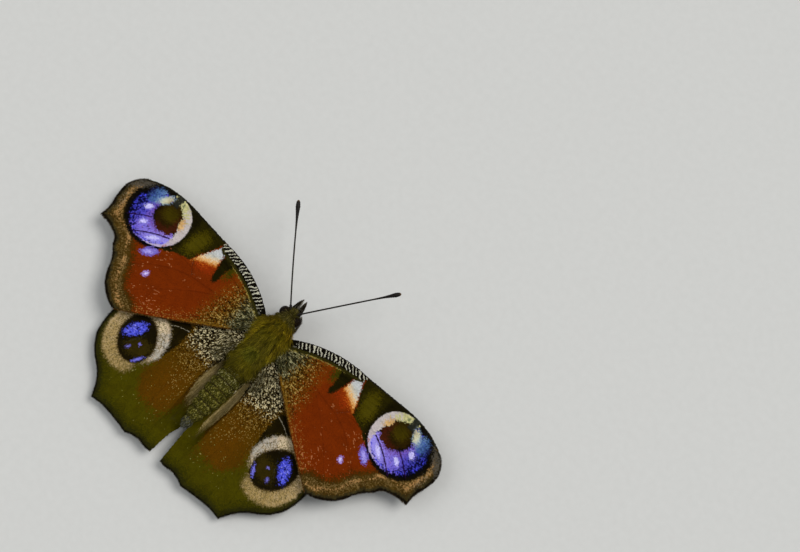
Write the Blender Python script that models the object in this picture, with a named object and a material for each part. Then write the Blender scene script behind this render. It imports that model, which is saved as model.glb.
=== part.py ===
# Peacock butterfly at life size, standing with all four wings spread
import math

import bmesh
import bpy
import numpy as np
from mathutils import Vector
from mathutils.geometry import delaunay_2d_cdt

MM = 0.001

# Driving sizes in millimetres: +X right wing, +Y head, +Z up, y 0 at the forewing root
GAP = 0.3
FLOOR = 0.0
WING_THICK = 0.5
WING_LEVEL = 5.0
WING_DROOP = 2.1
WING_REACH = 32.0
HIND_BELOW = 1.05
HIND_SAG = 1.7
GUTTER_DEEP = 1.5
VEIN_HIGH = 0.18
VEIN_WIDE = 0.30
MARGIN_STEP = 0.85
VEIN_STEP = 1.7
FILL_STEP = 2.6

THORAX_MID_Y = -2.8
THORAX_FORE_HALF = 4.3
THORAX_HIND_HALF = 7.6
THORAX_FRONT = 0.9
THORAX_REAR = -9.2
THORAX_WIDE = 3.3
THORAX_HIGH = 2.3
THORAX_LEVEL = 4.05
THORAX_FLANK = 2.9
THORAX_SOLE = 2.05
SHOULDER_BUMP = 0.16

ABDOMEN_FRONT = THORAX_REAR - GAP
ABDOMEN_END = -20.3
ABDOMEN_WIDE = 2.0
ABDOMEN_SEGMENTS = 8
ABDOMEN_LEVEL = 4.1
ABDOMEN_SINK = 0.35

HEAD_MID = (0.0, 2.25, 4.35)
HEAD_HALF = (1.30, 1.30, 1.30)
HEAD_REAR = THORAX_FRONT + GAP
HEAD_FRONT = 3.4
HEAD_FLANK = 0.95
HEAD_SOLE = 3.2
EYE_MID = (1.22, 2.35, 4.45)
EYE_HALF = (0.95, 1.00, 1.08)
PALP_RADIUS = 0.29
ANTENNA_SHAFT = 0.26
ANTENNA_CLUB = 0.47
ANTENNA_SOCKET = 0.36

# Wing margins: name of the vein that ends there, place, and how far the edge after it bows out
FORE_MARGIN = (
    ("root", (3.2, -0.45), 0.95),
    ("Sc", (14.41, 3.64), 0.0),
    ("R1", (20.89, 4.16), 0.20),
    ("R2", (26.68, 4.20), 0.22),
    ("R3", (30.98, 2.74), 0.35),
    ("R4", (32.86, -0.02), 0.08),
    ("R5", (32.58, -2.75), -0.24),
    ("M1", (32.32, -6.09), -0.22),
    ("M2", (29.10, -6.62), -0.30),
    ("M3", (27.54, -8.18), -0.19),
    ("CuA1", (25.42, -10.95), 0.36),
    ("CuA2", (22.90, -14.25), 0.15),
    ("2A", (20.19, -15.40), 0.15),
    ("inner", (5.03, -5.31), 0.10),
    ("hinge", (3.2, -3.0), 0.0),
)
HIND_MARGIN = (
    ("root", (3.2, -4.3), 1.30),
    ("ScR1", (18.60, -9.60), 0.60),
    ("Rs", (20.28, -15.00), 0.22),
    ("M1", (19.70, -19.40), 0.20),
    ("M2", (17.20, -22.35), -0.55),
    ("M3", (13.36, -26.99), -0.15),
    ("CuA1", (10.10, -26.78), -0.05),
    ("CuA2", (5.90, -27.35), -0.25),
    ("2A", (3.08, -26.73), 0.12),
    ("anal", (1.08, -26.79), 0.0),
    ("3A", (0.80, -22.80), 0.06),
    ("tail", (0.45, -20.30), 0.0),
    ("under", (1.20, -17.50), 0.0),
    ("side", (1.95, -11.50), 0.0),
    ("waist", (3.15, -8.70), 0.0),
    ("hinge", (3.2, -6.7), 0.0),
)

# Veins: where each leaves the root or the cell, and the point that bends it on its way to the margin
FORE_VEINS = {
    "Sc": ((3.9, -0.55), (8.5, 2.2)),
    "R1": ((11.5, 0.90), (16.0, 3.2)),
    "R2": ((15.0, 1.15), (20.5, 3.4)),
    "R3": ((21.8, 1.90), (26.8, 3.3)),
    "R4": ((26.3, 1.90), (29.8, 1.5)),
    "R5": ((22.5, 1.90), (28.5, 1.3)),
    "M1": ((16.9, 0.35), (25.8, 1.5)),
    "M2": ((17.0, -0.90), (23.6, -1.1)),
    "M3": ((16.4, -2.60), (22.8, -1.6)),
    "CuA1": ((15.0, -3.60), (20.8, -5.0)),
    "CuA2": ((10.6, -3.30), (16.5, -6.8)),
    "2A": ((3.9, -2.55), (9.5, -7.2)),
}
FORE_STEMS = (
    ((3.9, -1.15), (10.0, 0.7), (16.6, 1.20)),
    ((16.6, 1.20), (21.5, 2.0), (26.3, 1.90)),
    ((3.9, -1.80), (9.0, -2.8), (15.0, -3.60)),
    ((16.6, 1.20), (17.8, -1.2), (15.0, -3.60)),
)
HIND_VEINS = {
    "ScR1": ((4.0, -4.95), (11.0, -5.0)),
    "Rs": ((7.2, -7.00), (14.5, -9.4)),
    "M1": ((11.6, -11.20), (16.5, -14.6)),
    "M2": ((11.6, -12.60), (15.4, -16.8)),
    "M3": ((10.2, -14.40), (12.9, -19.5)),
    "CuA1": ((8.9, -14.00), (10.2, -19.5)),
    "CuA2": ((6.3, -11.40), (6.6, -18.5)),
    "2A": ((4.0, -6.25), (3.7, -15.0)),
}
HIND_STEMS = (
    ((4.0, -5.55), (8.2, -7.4), (11.6, -11.20)),
    ((4.3, -6.9), (6.0, -11.0), (10.2, -14.40)),
    ((11.6, -11.20), (11.9, -13.2), (10.2, -14.40)),
)

# Leg joints on the right side: coxa, body side, knee, ankle, foot
LEGS = {
    "foreleg": ((1.15, -1.0), (1.5, -0.3, 1.35), (1.85, 1.6, 2.2), (1.6, 2.9, 2.75), (1.1, 3.6, 2.6)),
    "midleg": ((1.25, -3.9), (2.0, -3.6, 1.15), (4.9, -2.4, 2.75), (8.3, -0.9, 0.55), (11.0, 0.6, 0.2)),
    "hindleg": ((1.25, -6.9), (1.9, -7.5, 1.15), (4.7, -10.0, 2.25), (7.8, -13.6, 0.55), (9.6, -16.6, 0.2)),
}
LEG_RADII = (0.42, 0.42, 0.36, 0.28, 0.25)

# Feeler paths from the socket outwards, each side in its own pose
ANTENNAE = {
    "antenna_left": ((-0.72, 3.22, 5.62), (-5.40, 8.28, 6.60), (-11.23, 15.49, 7.50)),
    "antenna_right": ((0.72, 3.22, 5.62), (5.43, 9.65, 6.60), (9.81, 15.80, 7.50)),
}

# Colours
FUR = (0.060, 0.052, 0.022, 1.0)
RUST = (0.210, 0.036, 0.012, 1.0)
UMBER = (0.115, 0.038, 0.016, 1.0)
HORN = (0.030, 0.024, 0.018, 1.0)
EYE_DARK = (0.016, 0.012, 0.010, 1.0)
CHITIN = (0.090, 0.072, 0.050, 1.0)


for old in list(bpy.data.objects):
    bpy.data.objects.remove(old, do_unlink=True)
insect = bpy.data.collections.new("peacock_butterfly")
bpy.context.scene.collection.children.link(insect)


def material(name, colour, roughness):
    made = bpy.data.materials.new(name)
    made.use_nodes = True
    shader = made.node_tree.nodes["Principled BSDF"]
    shader.inputs["Base Color"].default_value = colour
    shader.inputs["Roughness"].default_value = roughness
    shader.inputs["Metallic"].default_value = 0.0
    return made


def place(name, mesh, colour, roughness):
    """One node in the insect's collection, smooth, with its own material."""
    mesh.materials.clear()
    mesh.materials.append(material(name + "_surface", colour, roughness))
    for face in mesh.polygons:
        face.use_smooth = True
    node = bpy.data.objects.new(name, mesh)
    insect.objects.link(node)
    return node


def mesh_of(name, points, faces):
    mesh = bpy.data.meshes.new(name)
    mesh.from_pydata([Vector(p) * MM for p in points], [], faces)
    mesh.update()
    return mesh


def cut_flat(mesh, point, outward):
    """Cuts away what lies beyond a plane and closes the cut with a flat face."""
    work = bmesh.new()
    work.from_mesh(mesh)
    shape = work.verts[:] + work.edges[:] + work.faces[:]
    cut = bmesh.ops.bisect_plane(
        work, geom=shape, plane_co=Vector(point) * MM, plane_no=Vector(outward), clear_outer=True
    )
    rim = [item for item in cut["geom_cut"] if isinstance(item, bmesh.types.BMEdge)]
    bmesh.ops.contextual_create(work, geom=rim)
    bmesh.ops.recalc_face_normals(work, faces=work.faces)
    work.to_mesh(mesh)
    work.free()


def through(knots, steps):
    """A smooth path through the knots, with a number of steps between each two."""
    known = [np.array(k, float) for k in knots]
    ends = [2 * known[0] - known[1]] + known + [2 * known[-1] - known[-2]]
    path = []
    for i in range(1, len(ends) - 2):
        a, b, c, d = ends[i - 1 : i + 3]
        for step in range(steps):
            t = step / steps
            path.append(
                0.5 * (2 * b + (c - a) * t + (2 * a - 5 * b + 4 * c - d) * t**2 + (3 * b - a - 3 * c + d) * t**3)
            )
    path.append(known[-1])
    return path


def tube(name, path, radii):
    """A round rod along a path, with its own radius at each point and flat ends."""
    curve = bpy.data.curves.new(name + "_path", "CURVE")
    curve.dimensions = "3D"
    curve.bevel_depth = MM
    curve.bevel_resolution = 2
    curve.use_fill_caps = True
    spline = curve.splines.new("POLY")
    spline.points.add(len(path) - 1)
    for knot, at, radius in zip(spline.points, path, radii):
        knot.co = (at[0] * MM, at[1] * MM, at[2] * MM, 1.0)
        knot.radius = radius
    guide = bpy.data.objects.new(name + "_guide", curve)
    mesh = bpy.data.meshes.new_from_object(guide)
    bpy.data.objects.remove(guide, do_unlink=True)
    work = bmesh.new()
    work.from_mesh(mesh)
    bmesh.ops.remove_doubles(work, verts=work.verts, dist=0.000001)
    bmesh.ops.recalc_face_normals(work, faces=work.faces)
    work.to_mesh(mesh)
    work.free()
    return mesh


def blend(values, share):
    """The value at a share of the way along evenly spaced values."""
    return float(np.interp(share, np.linspace(0, 1, len(values)), values))


def loft(name, sections):
    """Skins rings of equal count, and closes both ends."""
    count = len(sections[0])
    points = [p for ring in sections for p in ring]
    faces = []
    for i in range(len(sections) - 1):
        for j in range(count):
            k = (j + 1) % count
            faces.append((i * count + j, i * count + k, (i + 1) * count + k, (i + 1) * count + j))
    faces.append(tuple(range(count))[::-1])
    faces.append(tuple(range((len(sections) - 1) * count, len(sections) * count)))
    mesh = mesh_of(name, points, faces)
    work = bmesh.new()
    work.from_mesh(mesh)
    bmesh.ops.recalc_face_normals(work, faces=work.faces)
    work.to_mesh(mesh)
    work.free()
    return mesh


# Wings: shape of the middle surface
def fore_level(x, y):
    return WING_LEVEL - WING_DROOP * (abs(x) / WING_REACH) ** 1.5


def hind_level(x, y):
    sag = HIND_SAG * min(max((-y - 8) / 18, 0), 1.3) ** 1.5
    return fore_level(x, y) - HIND_BELOW - sag - gutter(x, y)


def ease(value):
    held = min(max(value, 0.0), 1.0)
    return held * held * (3 - 2 * held)


def gutter(x, y):
    """The inner edge of a hindwing turns down beside the abdomen."""
    beside = ease((-7.2 - y) / 2.5) * ease((y + 23.5) / 3.0)
    return GUTTER_DEEP * ease((3.9 - x) / 1.9) * beside


def edge_of(margin):
    """The wing's edge in plan, with each stretch between two veins bowed by its own amount."""
    path = []
    for (_, start, bow), (_, end, _) in zip(margin, margin[1:] + margin[:1]):
        a = np.array(start)
        along = np.array(end) - a
        length = float(np.linalg.norm(along))
        side = np.array((-along[1], along[0])) / length
        steps = max(2, round(length / MARGIN_STEP)) if bow else max(1, round(length / 2.0))
        for step in range(steps):
            t = step / steps
            path.append(a + along * t + side * bow * 4 * t * (1 - t))
    return path


def veins_of(margin, veins, stems):
    """Centre lines of the veins, each with its height and half width along it."""
    ends = {name: np.array(at) for name, at, _ in margin}
    lines = [(a, b, c, 1.0, 0.8) for a, b, c in stems]
    for name, (start, bend) in veins.items():
        short = np.array(bend) + (ends[name] - np.array(bend)) * 0.93
        lines.append((start, bend, tuple(short), 0.8, 0.45))
    found = []
    for start, bend, end, first, last in lines:
        a, b, c = (np.array(p, float) for p in (start, bend, end))
        length = np.linalg.norm(b - a) + np.linalg.norm(c - b)
        steps = max(3, round(float(length) / VEIN_STEP))
        ts = np.linspace(0, 1, steps + 1)[:, None]
        path = a * (1 - ts) ** 2 + 2 * b * ts * (1 - ts) + c * ts**2
        found.append((path, np.linspace(first, last, steps + 1)))
    return found


def inside(point, edge):
    """Whether a point in plan lies within the wing's edge."""
    a = np.array(edge)
    b = np.roll(a, -1, axis=0)
    spans = (a[:, 1] > point[1]) != (b[:, 1] > point[1])
    rise = np.where(b[:, 1] == a[:, 1], 1.0, b[:, 1] - a[:, 1])
    cross = a[:, 0] + (point[1] - a[:, 1]) / rise * (b[:, 0] - a[:, 0])
    return bool((spans & (cross > point[0])).sum() % 2)


def ridge_at(point, lines):
    """How far the veins raise the surface at a point."""
    best = 0.0
    for path, size in lines:
        a, b = path[:-1], path[1:]
        along = b - a
        t = np.clip(((point - a) * along).sum(1) / (along * along).sum(1), 0, 1)
        away = np.linalg.norm(a + along * t[:, None] - point, axis=1)
        near = int(away.argmin())
        here = size[near] + (size[near + 1] - size[near]) * t[near]
        best = max(best, here * VEIN_HIGH * (1 - away[near] / (here * VEIN_WIDE)))
    return best


def wing(name, margin, veins, stems, level, side, colour):
    """A thin vane with its veins raised in the upper surface, split alike on both faces."""
    edge = edge_of(margin)
    lines = veins_of(margin, veins, stems)
    points = list(edge)
    joins = [(i, (i + 1) % len(edge)) for i in range(len(edge))]
    for path, size in lines:
        along = np.gradient(path, axis=0)
        across = np.stack((-along[:, 1], along[:, 0]), 1) / np.linalg.norm(along, axis=1)[:, None]
        for offset in (0, 1, -1):
            first = len(points)
            points += list(path + across * (offset * VEIN_WIDE * size)[:, None])
            joins += [(i, i + 1) for i in range(first, len(points) - 1)]
    drawn = np.array(points)
    low, high = drawn.min(0), drawn.max(0)
    for x in np.arange(low[0], high[0], FILL_STEP):
        for y in np.arange(low[1], high[1], FILL_STEP):
            clear = np.linalg.norm(drawn - (x, y), axis=1).min() > 0.9
            if clear and inside((x, y), edge):
                points.append(np.array((x, y)))
    flat = [Vector((float(x), float(y))) for x, y in points]
    spread, _, faces, _, _, _ = delaunay_2d_cdt(flat, joins, [], 0, 0.02, True)
    count = len(spread)
    upper, lower = [], []
    for at in spread:
        x, y = at
        z = level(x, y)
        rise = max(ridge_at(np.array((x, y)), lines), 0.0)
        upper.append((side * x, y, z + WING_THICK / 2 + rise))
        lower.append((side * x, y, z - WING_THICK / 2))
    shell = [tuple(face) for face in faces if inside(sum((spread[i] for i in face), Vector((0, 0))) / 3, edge)]
    under = [tuple(i + count for i in face[::-1]) for face in shell]
    once = {}
    for face in shell:
        for i, start in enumerate(face):
            end = face[(i + 1) % len(face)]
            once[(start, end)] = True
    rim = []
    for start, end in once:
        if (end, start) not in once:
            rim.append((end, start, start + count))
            rim.append((end, start + count, end + count))
    mesh = mesh_of(name, upper + lower, shell + under + rim)
    work = bmesh.new()
    work.from_mesh(mesh)
    loose = [vert for vert in work.verts if not vert.link_faces]
    bmesh.ops.delete(work, geom=loose, context="VERTS")
    bmesh.ops.recalc_face_normals(work, faces=work.faces)
    work.to_mesh(mesh)
    work.free()
    return place(name, mesh, colour, 0.8)


for tag, side in (("left", -1), ("right", 1)):
    wing("forewing_" + tag, FORE_MARGIN, FORE_VEINS, FORE_STEMS, fore_level, side, RUST)
    wing("hindwing_" + tag, HIND_MARGIN, HIND_VEINS, HIND_STEMS, hind_level, side, UMBER)


# Thorax: broad flanks for the wing roots and a flat sole for the legs
def thorax_ring(y, count):
    half = THORAX_FORE_HALF if y > THORAX_MID_Y else THORAX_HIND_HALF
    size = (1 - abs((y - THORAX_MID_Y) / half) ** 2.5) ** 0.4
    for groove in (-0.75, -6.6):
        size *= 1 - 0.045 * math.exp(-(((y - groove) / 0.28) ** 2))
    ring = []
    for i in range(count):
        angle = 2 * math.pi * i / count
        c, s = math.cos(angle), math.sin(angle)
        x = THORAX_WIDE * size * math.copysign(abs(c) ** (2 / 2.4), c)
        z = THORAX_HIGH * size * math.copysign(abs(s) ** (2 / 2.4), s)
        if s > 0:
            away = ((abs(x) - 2.0) / 0.7) ** 2 + ((y + 1.6) / 1.3) ** 2
            z += SHOULDER_BUMP * math.exp(-away)
        x = min(max(x, -THORAX_FLANK), THORAX_FLANK)
        ring.append((x, y, max(THORAX_LEVEL + z, THORAX_SOLE)))
    return ring


stations = np.linspace(THORAX_FRONT, THORAX_REAR, 27)
thorax = loft("thorax", [thorax_ring(float(y), 32) for y in stations])
place("thorax", thorax, FUR, 0.9)


# Abdomen: rings that step in a little at each joint, tapering to the tail
def abdomen_ring(share, count):
    y = ABDOMEN_FRONT + (ABDOMEN_END - ABDOMEN_FRONT) * share
    plump = ABDOMEN_WIDE * (0.84 + 0.16 * math.sin(math.pi * min(share / 0.5, 1.0)))
    plump *= 1 - 0.62 * max(share - 0.30, 0) ** 1.35 / 0.70**1.35
    plump *= math.sqrt(max(1 - max((share - 0.90) / 0.102, 0) ** 2, 0.02))
    place_in = (share * ABDOMEN_SEGMENTS) % 1.0
    plump *= 1 - 0.05 * math.exp(-((min(place_in, 1 - place_in) / 0.14) ** 2))
    level = ABDOMEN_LEVEL - ABDOMEN_SINK * share
    ring = []
    for i in range(count):
        angle = 2 * math.pi * i / count
        ring.append((plump * math.cos(angle), y, level + 0.94 * plump * math.sin(angle)))
    return ring


shares = [i / 40 for i in range(37)] + [0.925, 0.95, 0.975, 1.0]
abdomen = loft("abdomen", [abdomen_ring(share, 24) for share in shares])
place("abdomen", abdomen, FUR, 0.85)


def ball(name, middle, half, rings):
    bpy.ops.mesh.primitive_uv_sphere_add(segments=rings * 2, ring_count=rings, radius=1.0)
    guide = bpy.context.active_object
    mesh = guide.data
    mesh.name = name
    for vert in mesh.vertices:
        vert.co = Vector([(middle[i] + half[i] * vert.co[i]) * MM for i in range(3)])
    bpy.data.objects.remove(guide, do_unlink=True)
    return mesh


# Head with flat seats for the eyes, palps, tongue and neck, and a socket for each feeler
skull = ball("head", HEAD_MID, HEAD_HALF, 10)
cut_flat(skull, (0, HEAD_REAR, 0), (0, -1, 0))
cut_flat(skull, (0, HEAD_FRONT, 0), (0, 1, 0))
cut_flat(skull, (0, 0, HEAD_SOLE), (0, 0, -1))
for side in (-1, 1):
    cut_flat(skull, (side * HEAD_FLANK, 0, 0), (side, 0, 0))
head = place("head", skull, FUR, 0.9)

pieces = bpy.data.collections.new("sockets")
bpy.context.scene.collection.children.link(pieces)
for knots in ANTENNAE.values():
    outward = (Vector(knots[1]) - Vector(knots[0])).normalized()
    start = Vector(knots[0]) - outward * 0.9
    end = Vector(knots[0]) - outward * GAP
    stub = tube("socket", [start, end], [ANTENNA_SOCKET, ANTENNA_SOCKET])
    pieces.objects.link(bpy.data.objects.new("socket", stub))
join = head.modifiers.new("sockets", "BOOLEAN")
join.operation = "UNION"
join.operand_type = "COLLECTION"
join.collection = pieces
join.solver = "EXACT"
joined = bpy.data.meshes.new_from_object(
    head.evaluated_get(bpy.context.evaluated_depsgraph_get())
)
head.modifiers.clear()
head.data = joined
for stub in list(pieces.objects):
    bpy.data.objects.remove(stub, do_unlink=True)
bpy.data.collections.remove(pieces)

# Eyes
for tag, side in (("left", -1), ("right", 1)):
    globe = ball("eye_" + tag, (side * EYE_MID[0], EYE_MID[1], EYE_MID[2]), EYE_HALF, 12)
    cut_flat(globe, (side * (HEAD_FLANK + GAP), 0, 0), (-side, 0, 0))
    place("eye_" + tag, globe, EYE_DARK, 0.25)

# Palps, side by side in front of the face
for tag, side in (("left", -1), ("right", 1)):
    start = HEAD_FRONT + GAP
    knots = ((side * 0.68, start, 3.95), (side * 0.66, start + 0.6, 4.0), (side * 0.42, 5.45, 4.55))
    path = through(knots, 4)
    radii = [PALP_RADIUS * blend((1.0, 1.15, 1.1, 0.55), i / (len(path) - 1)) for i in range(len(path))]
    place("palp_" + tag, tube("palp_" + tag, path, radii), FUR, 0.9)

# Tongue, rolled up below the palps
roll = []
for i in range(25):
    turn = i / 24
    reach = 0.85 - 0.58 * turn
    angle = -math.pi / 2 - 2 * math.pi * turn * 1.02
    roll.append((0.0, 3.80 + reach * math.sin(angle), HEAD_SOLE - GAP - 0.04 + reach * math.cos(angle)))
place("proboscis", tube("proboscis", roll, [0.2] * len(roll)), HORN, 0.5)

# Feelers with a club at the end
for name, knots in ANTENNAE.items():
    path = through(knots, 13)
    radii = []
    for i in range(len(path)):
        share = i / (len(path) - 1)
        swell = ease((share - 0.80) / 0.10) * (1 - 0.62 * ease((share - 0.93) / 0.07))
        radii.append(ANTENNA_SHAFT + (ANTENNA_CLUB - ANTENNA_SHAFT) * swell - 0.10 * ease((share - 0.95) / 0.05))
    place(name, tube(name, path, radii), HORN, 0.6)

# Legs: the brush pair folded forward, four walking legs with flats under the feet
for leg, (coxa, hip, knee, ankle, foot) in LEGS.items():
    for tag, side in (("left", -1), ("right", 1)):
        top = (coxa[0], coxa[1], THORAX_SOLE - GAP)
        under = (coxa[0], coxa[1], THORAX_SOLE - GAP - 0.3)
        path = [top] + through((under, hip, knee, ankle, foot), 6)
        path = [(side * p[0], p[1], p[2]) for p in path]
        radii = [blend(LEG_RADII, i / (len(path) - 1)) for i in range(len(path))]
        mesh = tube(leg, path, radii)
        if leg != "foreleg":
            cut_flat(mesh, (0, 0, FLOOR), (0, 0, -1))
        place(leg + "_" + tag, mesh, CHITIN, 0.7)

# Origin below the middle of the whole insect
corners = np.array([tuple(v.co) for node in insect.objects for v in node.data.vertices])
middle = (corners.min(0) + corners.max(0)) / 2
shift = Vector((-middle[0], -middle[1], -corners[:, 2].min()))
for node in insect.objects:
    for vert in node.data.vertices:
        vert.co += shift
print("shift in mm", [round(v / MM, 4) for v in shift])
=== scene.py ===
import math

import bmesh
import bpy
import numpy as np
from mathutils import Matrix, Vector
from mathutils.geometry import delaunay_2d_cdt


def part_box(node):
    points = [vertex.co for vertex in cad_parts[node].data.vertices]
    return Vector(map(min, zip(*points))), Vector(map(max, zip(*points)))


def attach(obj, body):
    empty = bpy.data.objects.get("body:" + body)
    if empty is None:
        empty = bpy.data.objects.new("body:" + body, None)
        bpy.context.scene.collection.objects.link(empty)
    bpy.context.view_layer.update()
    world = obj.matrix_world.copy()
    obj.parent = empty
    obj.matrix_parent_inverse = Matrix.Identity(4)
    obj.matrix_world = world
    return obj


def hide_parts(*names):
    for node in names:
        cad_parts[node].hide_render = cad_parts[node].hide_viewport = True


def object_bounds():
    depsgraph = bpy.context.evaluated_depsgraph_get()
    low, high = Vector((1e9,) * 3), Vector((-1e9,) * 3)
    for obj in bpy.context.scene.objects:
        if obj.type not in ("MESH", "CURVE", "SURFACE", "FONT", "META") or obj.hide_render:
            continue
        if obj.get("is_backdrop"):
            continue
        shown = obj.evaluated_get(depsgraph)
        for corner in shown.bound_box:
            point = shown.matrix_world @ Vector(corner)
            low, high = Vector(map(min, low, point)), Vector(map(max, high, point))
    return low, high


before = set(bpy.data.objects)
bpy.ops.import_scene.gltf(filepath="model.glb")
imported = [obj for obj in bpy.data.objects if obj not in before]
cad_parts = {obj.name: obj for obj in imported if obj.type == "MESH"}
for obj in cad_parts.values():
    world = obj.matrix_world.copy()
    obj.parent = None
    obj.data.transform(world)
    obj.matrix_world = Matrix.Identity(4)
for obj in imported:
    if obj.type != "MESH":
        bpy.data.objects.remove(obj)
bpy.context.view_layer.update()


# The four wings are thin membranes of chitin, stiffened by hollow veins that run from the hinge
# to the margin. The forewing lies over the front of the hindwing, and both droop a little outwards.
MM = 0.001
# Places are in millimetres from the middle line, the floor and the front of the forewings' roots.
# Those lie a little behind the front of the thorax, and this far ahead of the frame's middle
ROOT_BEHIND_THORAX = 0.9
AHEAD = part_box("thorax")[1].y / MM - ROOT_BEHIND_THORAX
MEMBRANE = 0.05
EDGE_STEP, VEIN_STEP = 0.35, 0.8
# Height and spread of a vein's rib, and of the swell of the membrane on both sides of it
RIB, SWELL = (0.07, 0.12), (0.10, 0.85)
MAP_MARGIN = 0.6
SIDES = (("left", -1), ("right", 1))

# Each place on the margin, how far the edge bows out to the next, and its vein's start and bend
FORE_MARGIN = (
    ("root", (2.6, -0.30), 0.95),
    ("Sc", (14.41, 3.64), 0.0, (3.6, -0.55), (8.5, 2.2)),
    ("R1", (20.89, 4.16), 0.20, (11.5, 0.90), (16.0, 3.2)),
    ("R2", (26.68, 4.20), 0.22, (15.0, 1.15), (20.5, 3.4)),
    ("R3", (30.98, 2.74), 0.35, (21.8, 1.90), (26.8, 3.3)),
    ("R4", (32.86, -0.02), 0.08, (26.3, 1.90), (29.8, 1.5)),
    ("R5", (32.58, -2.75), -0.24, (22.5, 1.90), (28.5, 1.3)),
    ("M1", (32.32, -6.09), -0.22, (16.9, 0.35), (25.8, 1.5)),
    ("M2", (29.10, -6.62), -0.30, (17.0, -0.90), (23.6, -1.1)),
    ("M3", (27.54, -8.18), -0.19, (16.4, -2.60), (22.8, -1.6)),
    ("CuA1", (25.42, -10.95), 0.36, (15.0, -3.60), (20.8, -5.0)),
    ("CuA2", (22.90, -14.25), 0.15, (10.6, -3.30), (16.5, -6.8)),
    ("2A", (20.19, -15.40), 0.15, (3.6, -2.55), (9.5, -7.2)),
    ("inner", (5.03, -5.31), 0.10),
    ("hinge", (2.6, -3.3), 0.0),
)
HIND_MARGIN = (
    ("root", (2.6, -4.0), 1.40),
    ("ScR1", (18.60, -9.60), 0.60, (3.6, -4.95), (11.0, -5.0)),
    ("Rs", (20.28, -15.00), 0.22, (7.2, -7.00), (14.5, -9.4)),
    ("M1", (19.70, -19.40), 0.20, (11.6, -11.20), (16.5, -14.6)),
    ("M2", (17.20, -22.35), -0.55, (11.6, -12.60), (15.4, -16.8)),
    ("M3", (13.36, -26.99), -0.15, (10.2, -14.40), (12.9, -19.5)),
    ("CuA1", (10.10, -26.78), -0.05, (8.9, -14.00), (10.2, -19.5)),
    ("CuA2", (5.90, -27.35), -0.25, (6.3, -11.40), (6.6, -18.5)),
    ("2A", (3.08, -26.73), 0.12, (3.6, -6.25), (3.7, -15.0)),
    ("anal", (1.08, -26.79), 0.0),
    ("3A", (0.80, -22.80), 0.06),
    ("tail", (0.45, -20.30), 0.0),
    ("under", (0.60, -17.50), 0.0),
    ("side", (0.90, -11.50), 0.0),
    ("waist", (2.00, -8.70), 0.0),
    ("hinge", (2.6, -6.7), 0.0),
)
FORE_STEMS = (
    ((3.4, -1.15), (10.0, 0.7), (16.6, 1.20)),
    ((16.6, 1.20), (21.5, 2.0), (26.3, 1.90)),
    ((3.4, -1.80), (9.0, -2.8), (15.0, -3.60)),
    ((16.6, 1.20), (17.8, -1.2), (15.0, -3.60)),
)
HIND_STEMS = (
    ((3.6, -5.55), (8.2, -7.4), (11.6, -11.20)),
    ((4.0, -6.9), (6.0, -11.0), (10.2, -14.40)),
    ((11.6, -11.20), (11.9, -13.2), (10.2, -14.40)),
)


def ease(value):
    """A smooth rise from nought to one, held at both ends."""
    held = np.clip(value, 0, 1)
    return held * held * (3 - 2 * held)


def unit(rows, least=0.0):
    """Each row of a table of vectors at length one."""
    return rows / (np.linalg.norm(rows, axis=-1)[..., None] + least)


def curve(a, b, c, count):
    """Points along a bend from a to c that is drawn towards b."""
    t = np.linspace(0, 1, count + 1)[:, None]
    return a * (1 - t) ** 2 + 2 * b * t * (1 - t) + c * t**2


def fore_level(x, y):
    """Level at the hinge and drooping towards the tip, the same at any place along the body."""
    return 5.0 - 2.1 * (np.abs(x) / 32.0) ** 1.5


def hind_level(x, y):
    """Under the forewing, sagging to the rear, and drawn down beside the abdomen."""
    sag = 1.7 * np.clip((-y - 8) / 18, 0, 1.3) ** 1.5
    beside = ease((-7.2 - y) / 2.5) * ease((y + 23.5) / 3.0)
    return fore_level(x, y) - 1.05 - sag - 1.5 * ease((3.9 - x) / 1.9) * beside


def edge_of(margin, step):
    """The wing's edge in plan, each stretch between two veins bowed by its own amount."""
    path = []
    for (_, start, bow, *_), (_, end, *_) in zip(margin, margin[1:] + margin[:1]):
        along = np.subtract(end, start)
        length = np.linalg.norm(along)
        count = max(2, round(length / step))
        t = np.arange(count)[:, None] / count
        side = np.array((-along[1], along[0])) / length
        path.append(start + along * t + side * bow * 4 * t * (1 - t))
    return np.concatenate(path)


def veins_of(margin, stems, step):
    """Centre lines of the veins by name, each a run of points in plan."""
    lines = {"stem%d" % i: knots for i, knots in enumerate(stems)}
    lines.update({name: (*vein, end) for name, end, _, *vein in margin if vein})
    for name, knots in lines.items():
        a, b, c = np.array(knots)
        length = np.linalg.norm(b - a) + np.linalg.norm(c - b)
        lines[name] = curve(a, b, c, max(3, round(length / step)))
    return lines


def away_from(x, y, path):
    """Distance in plan from each point to the nearest stretch of a path."""
    best = np.full(len(x), 1e9)
    for a, b in zip(path[:-1], path[1:]):
        along = b - a
        t = np.clip(((x - a[0]) * along[0] + (y - a[1]) * along[1]) / (along @ along), 0, 1)
        best = np.minimum(best, (x - a[0] - t * along[0]) ** 2 + (y - a[1] - t * along[1]) ** 2)
    return np.sqrt(best)


def within(x, y, edge):
    """Which points in plan lie inside a closed edge."""
    odd = np.zeros(len(x), bool)
    for a, b in zip(edge, np.roll(edge, -1, axis=0)):
        if a[1] != b[1]:
            spans = (a[1] > y) != (b[1] > y)
            odd ^= spans & (a[0] + (y - a[1]) / (b[1] - a[1]) * (b[0] - a[0]) > x)
    return odd


def patchy(x, y, size, seed):
    """Smooth random patches of a size in millimetres, from 0 to 1."""
    lattice = np.random.default_rng(seed).random((97, 89))
    u, v = x / size + 500.3, y / size + 500.7
    i, j = np.floor(u).astype(int), np.floor(v).astype(int)
    f, g = ease(u - i), ease(v - j)
    a, b, c, d = (lattice[(i + p) % 97, (j + q) % 89] for p, q in ((0, 0), (1, 0), (0, 1), (1, 1)))
    return (a * (1 - f) + b * f) * (1 - g) + (c * (1 - f) + d * f) * g


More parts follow.
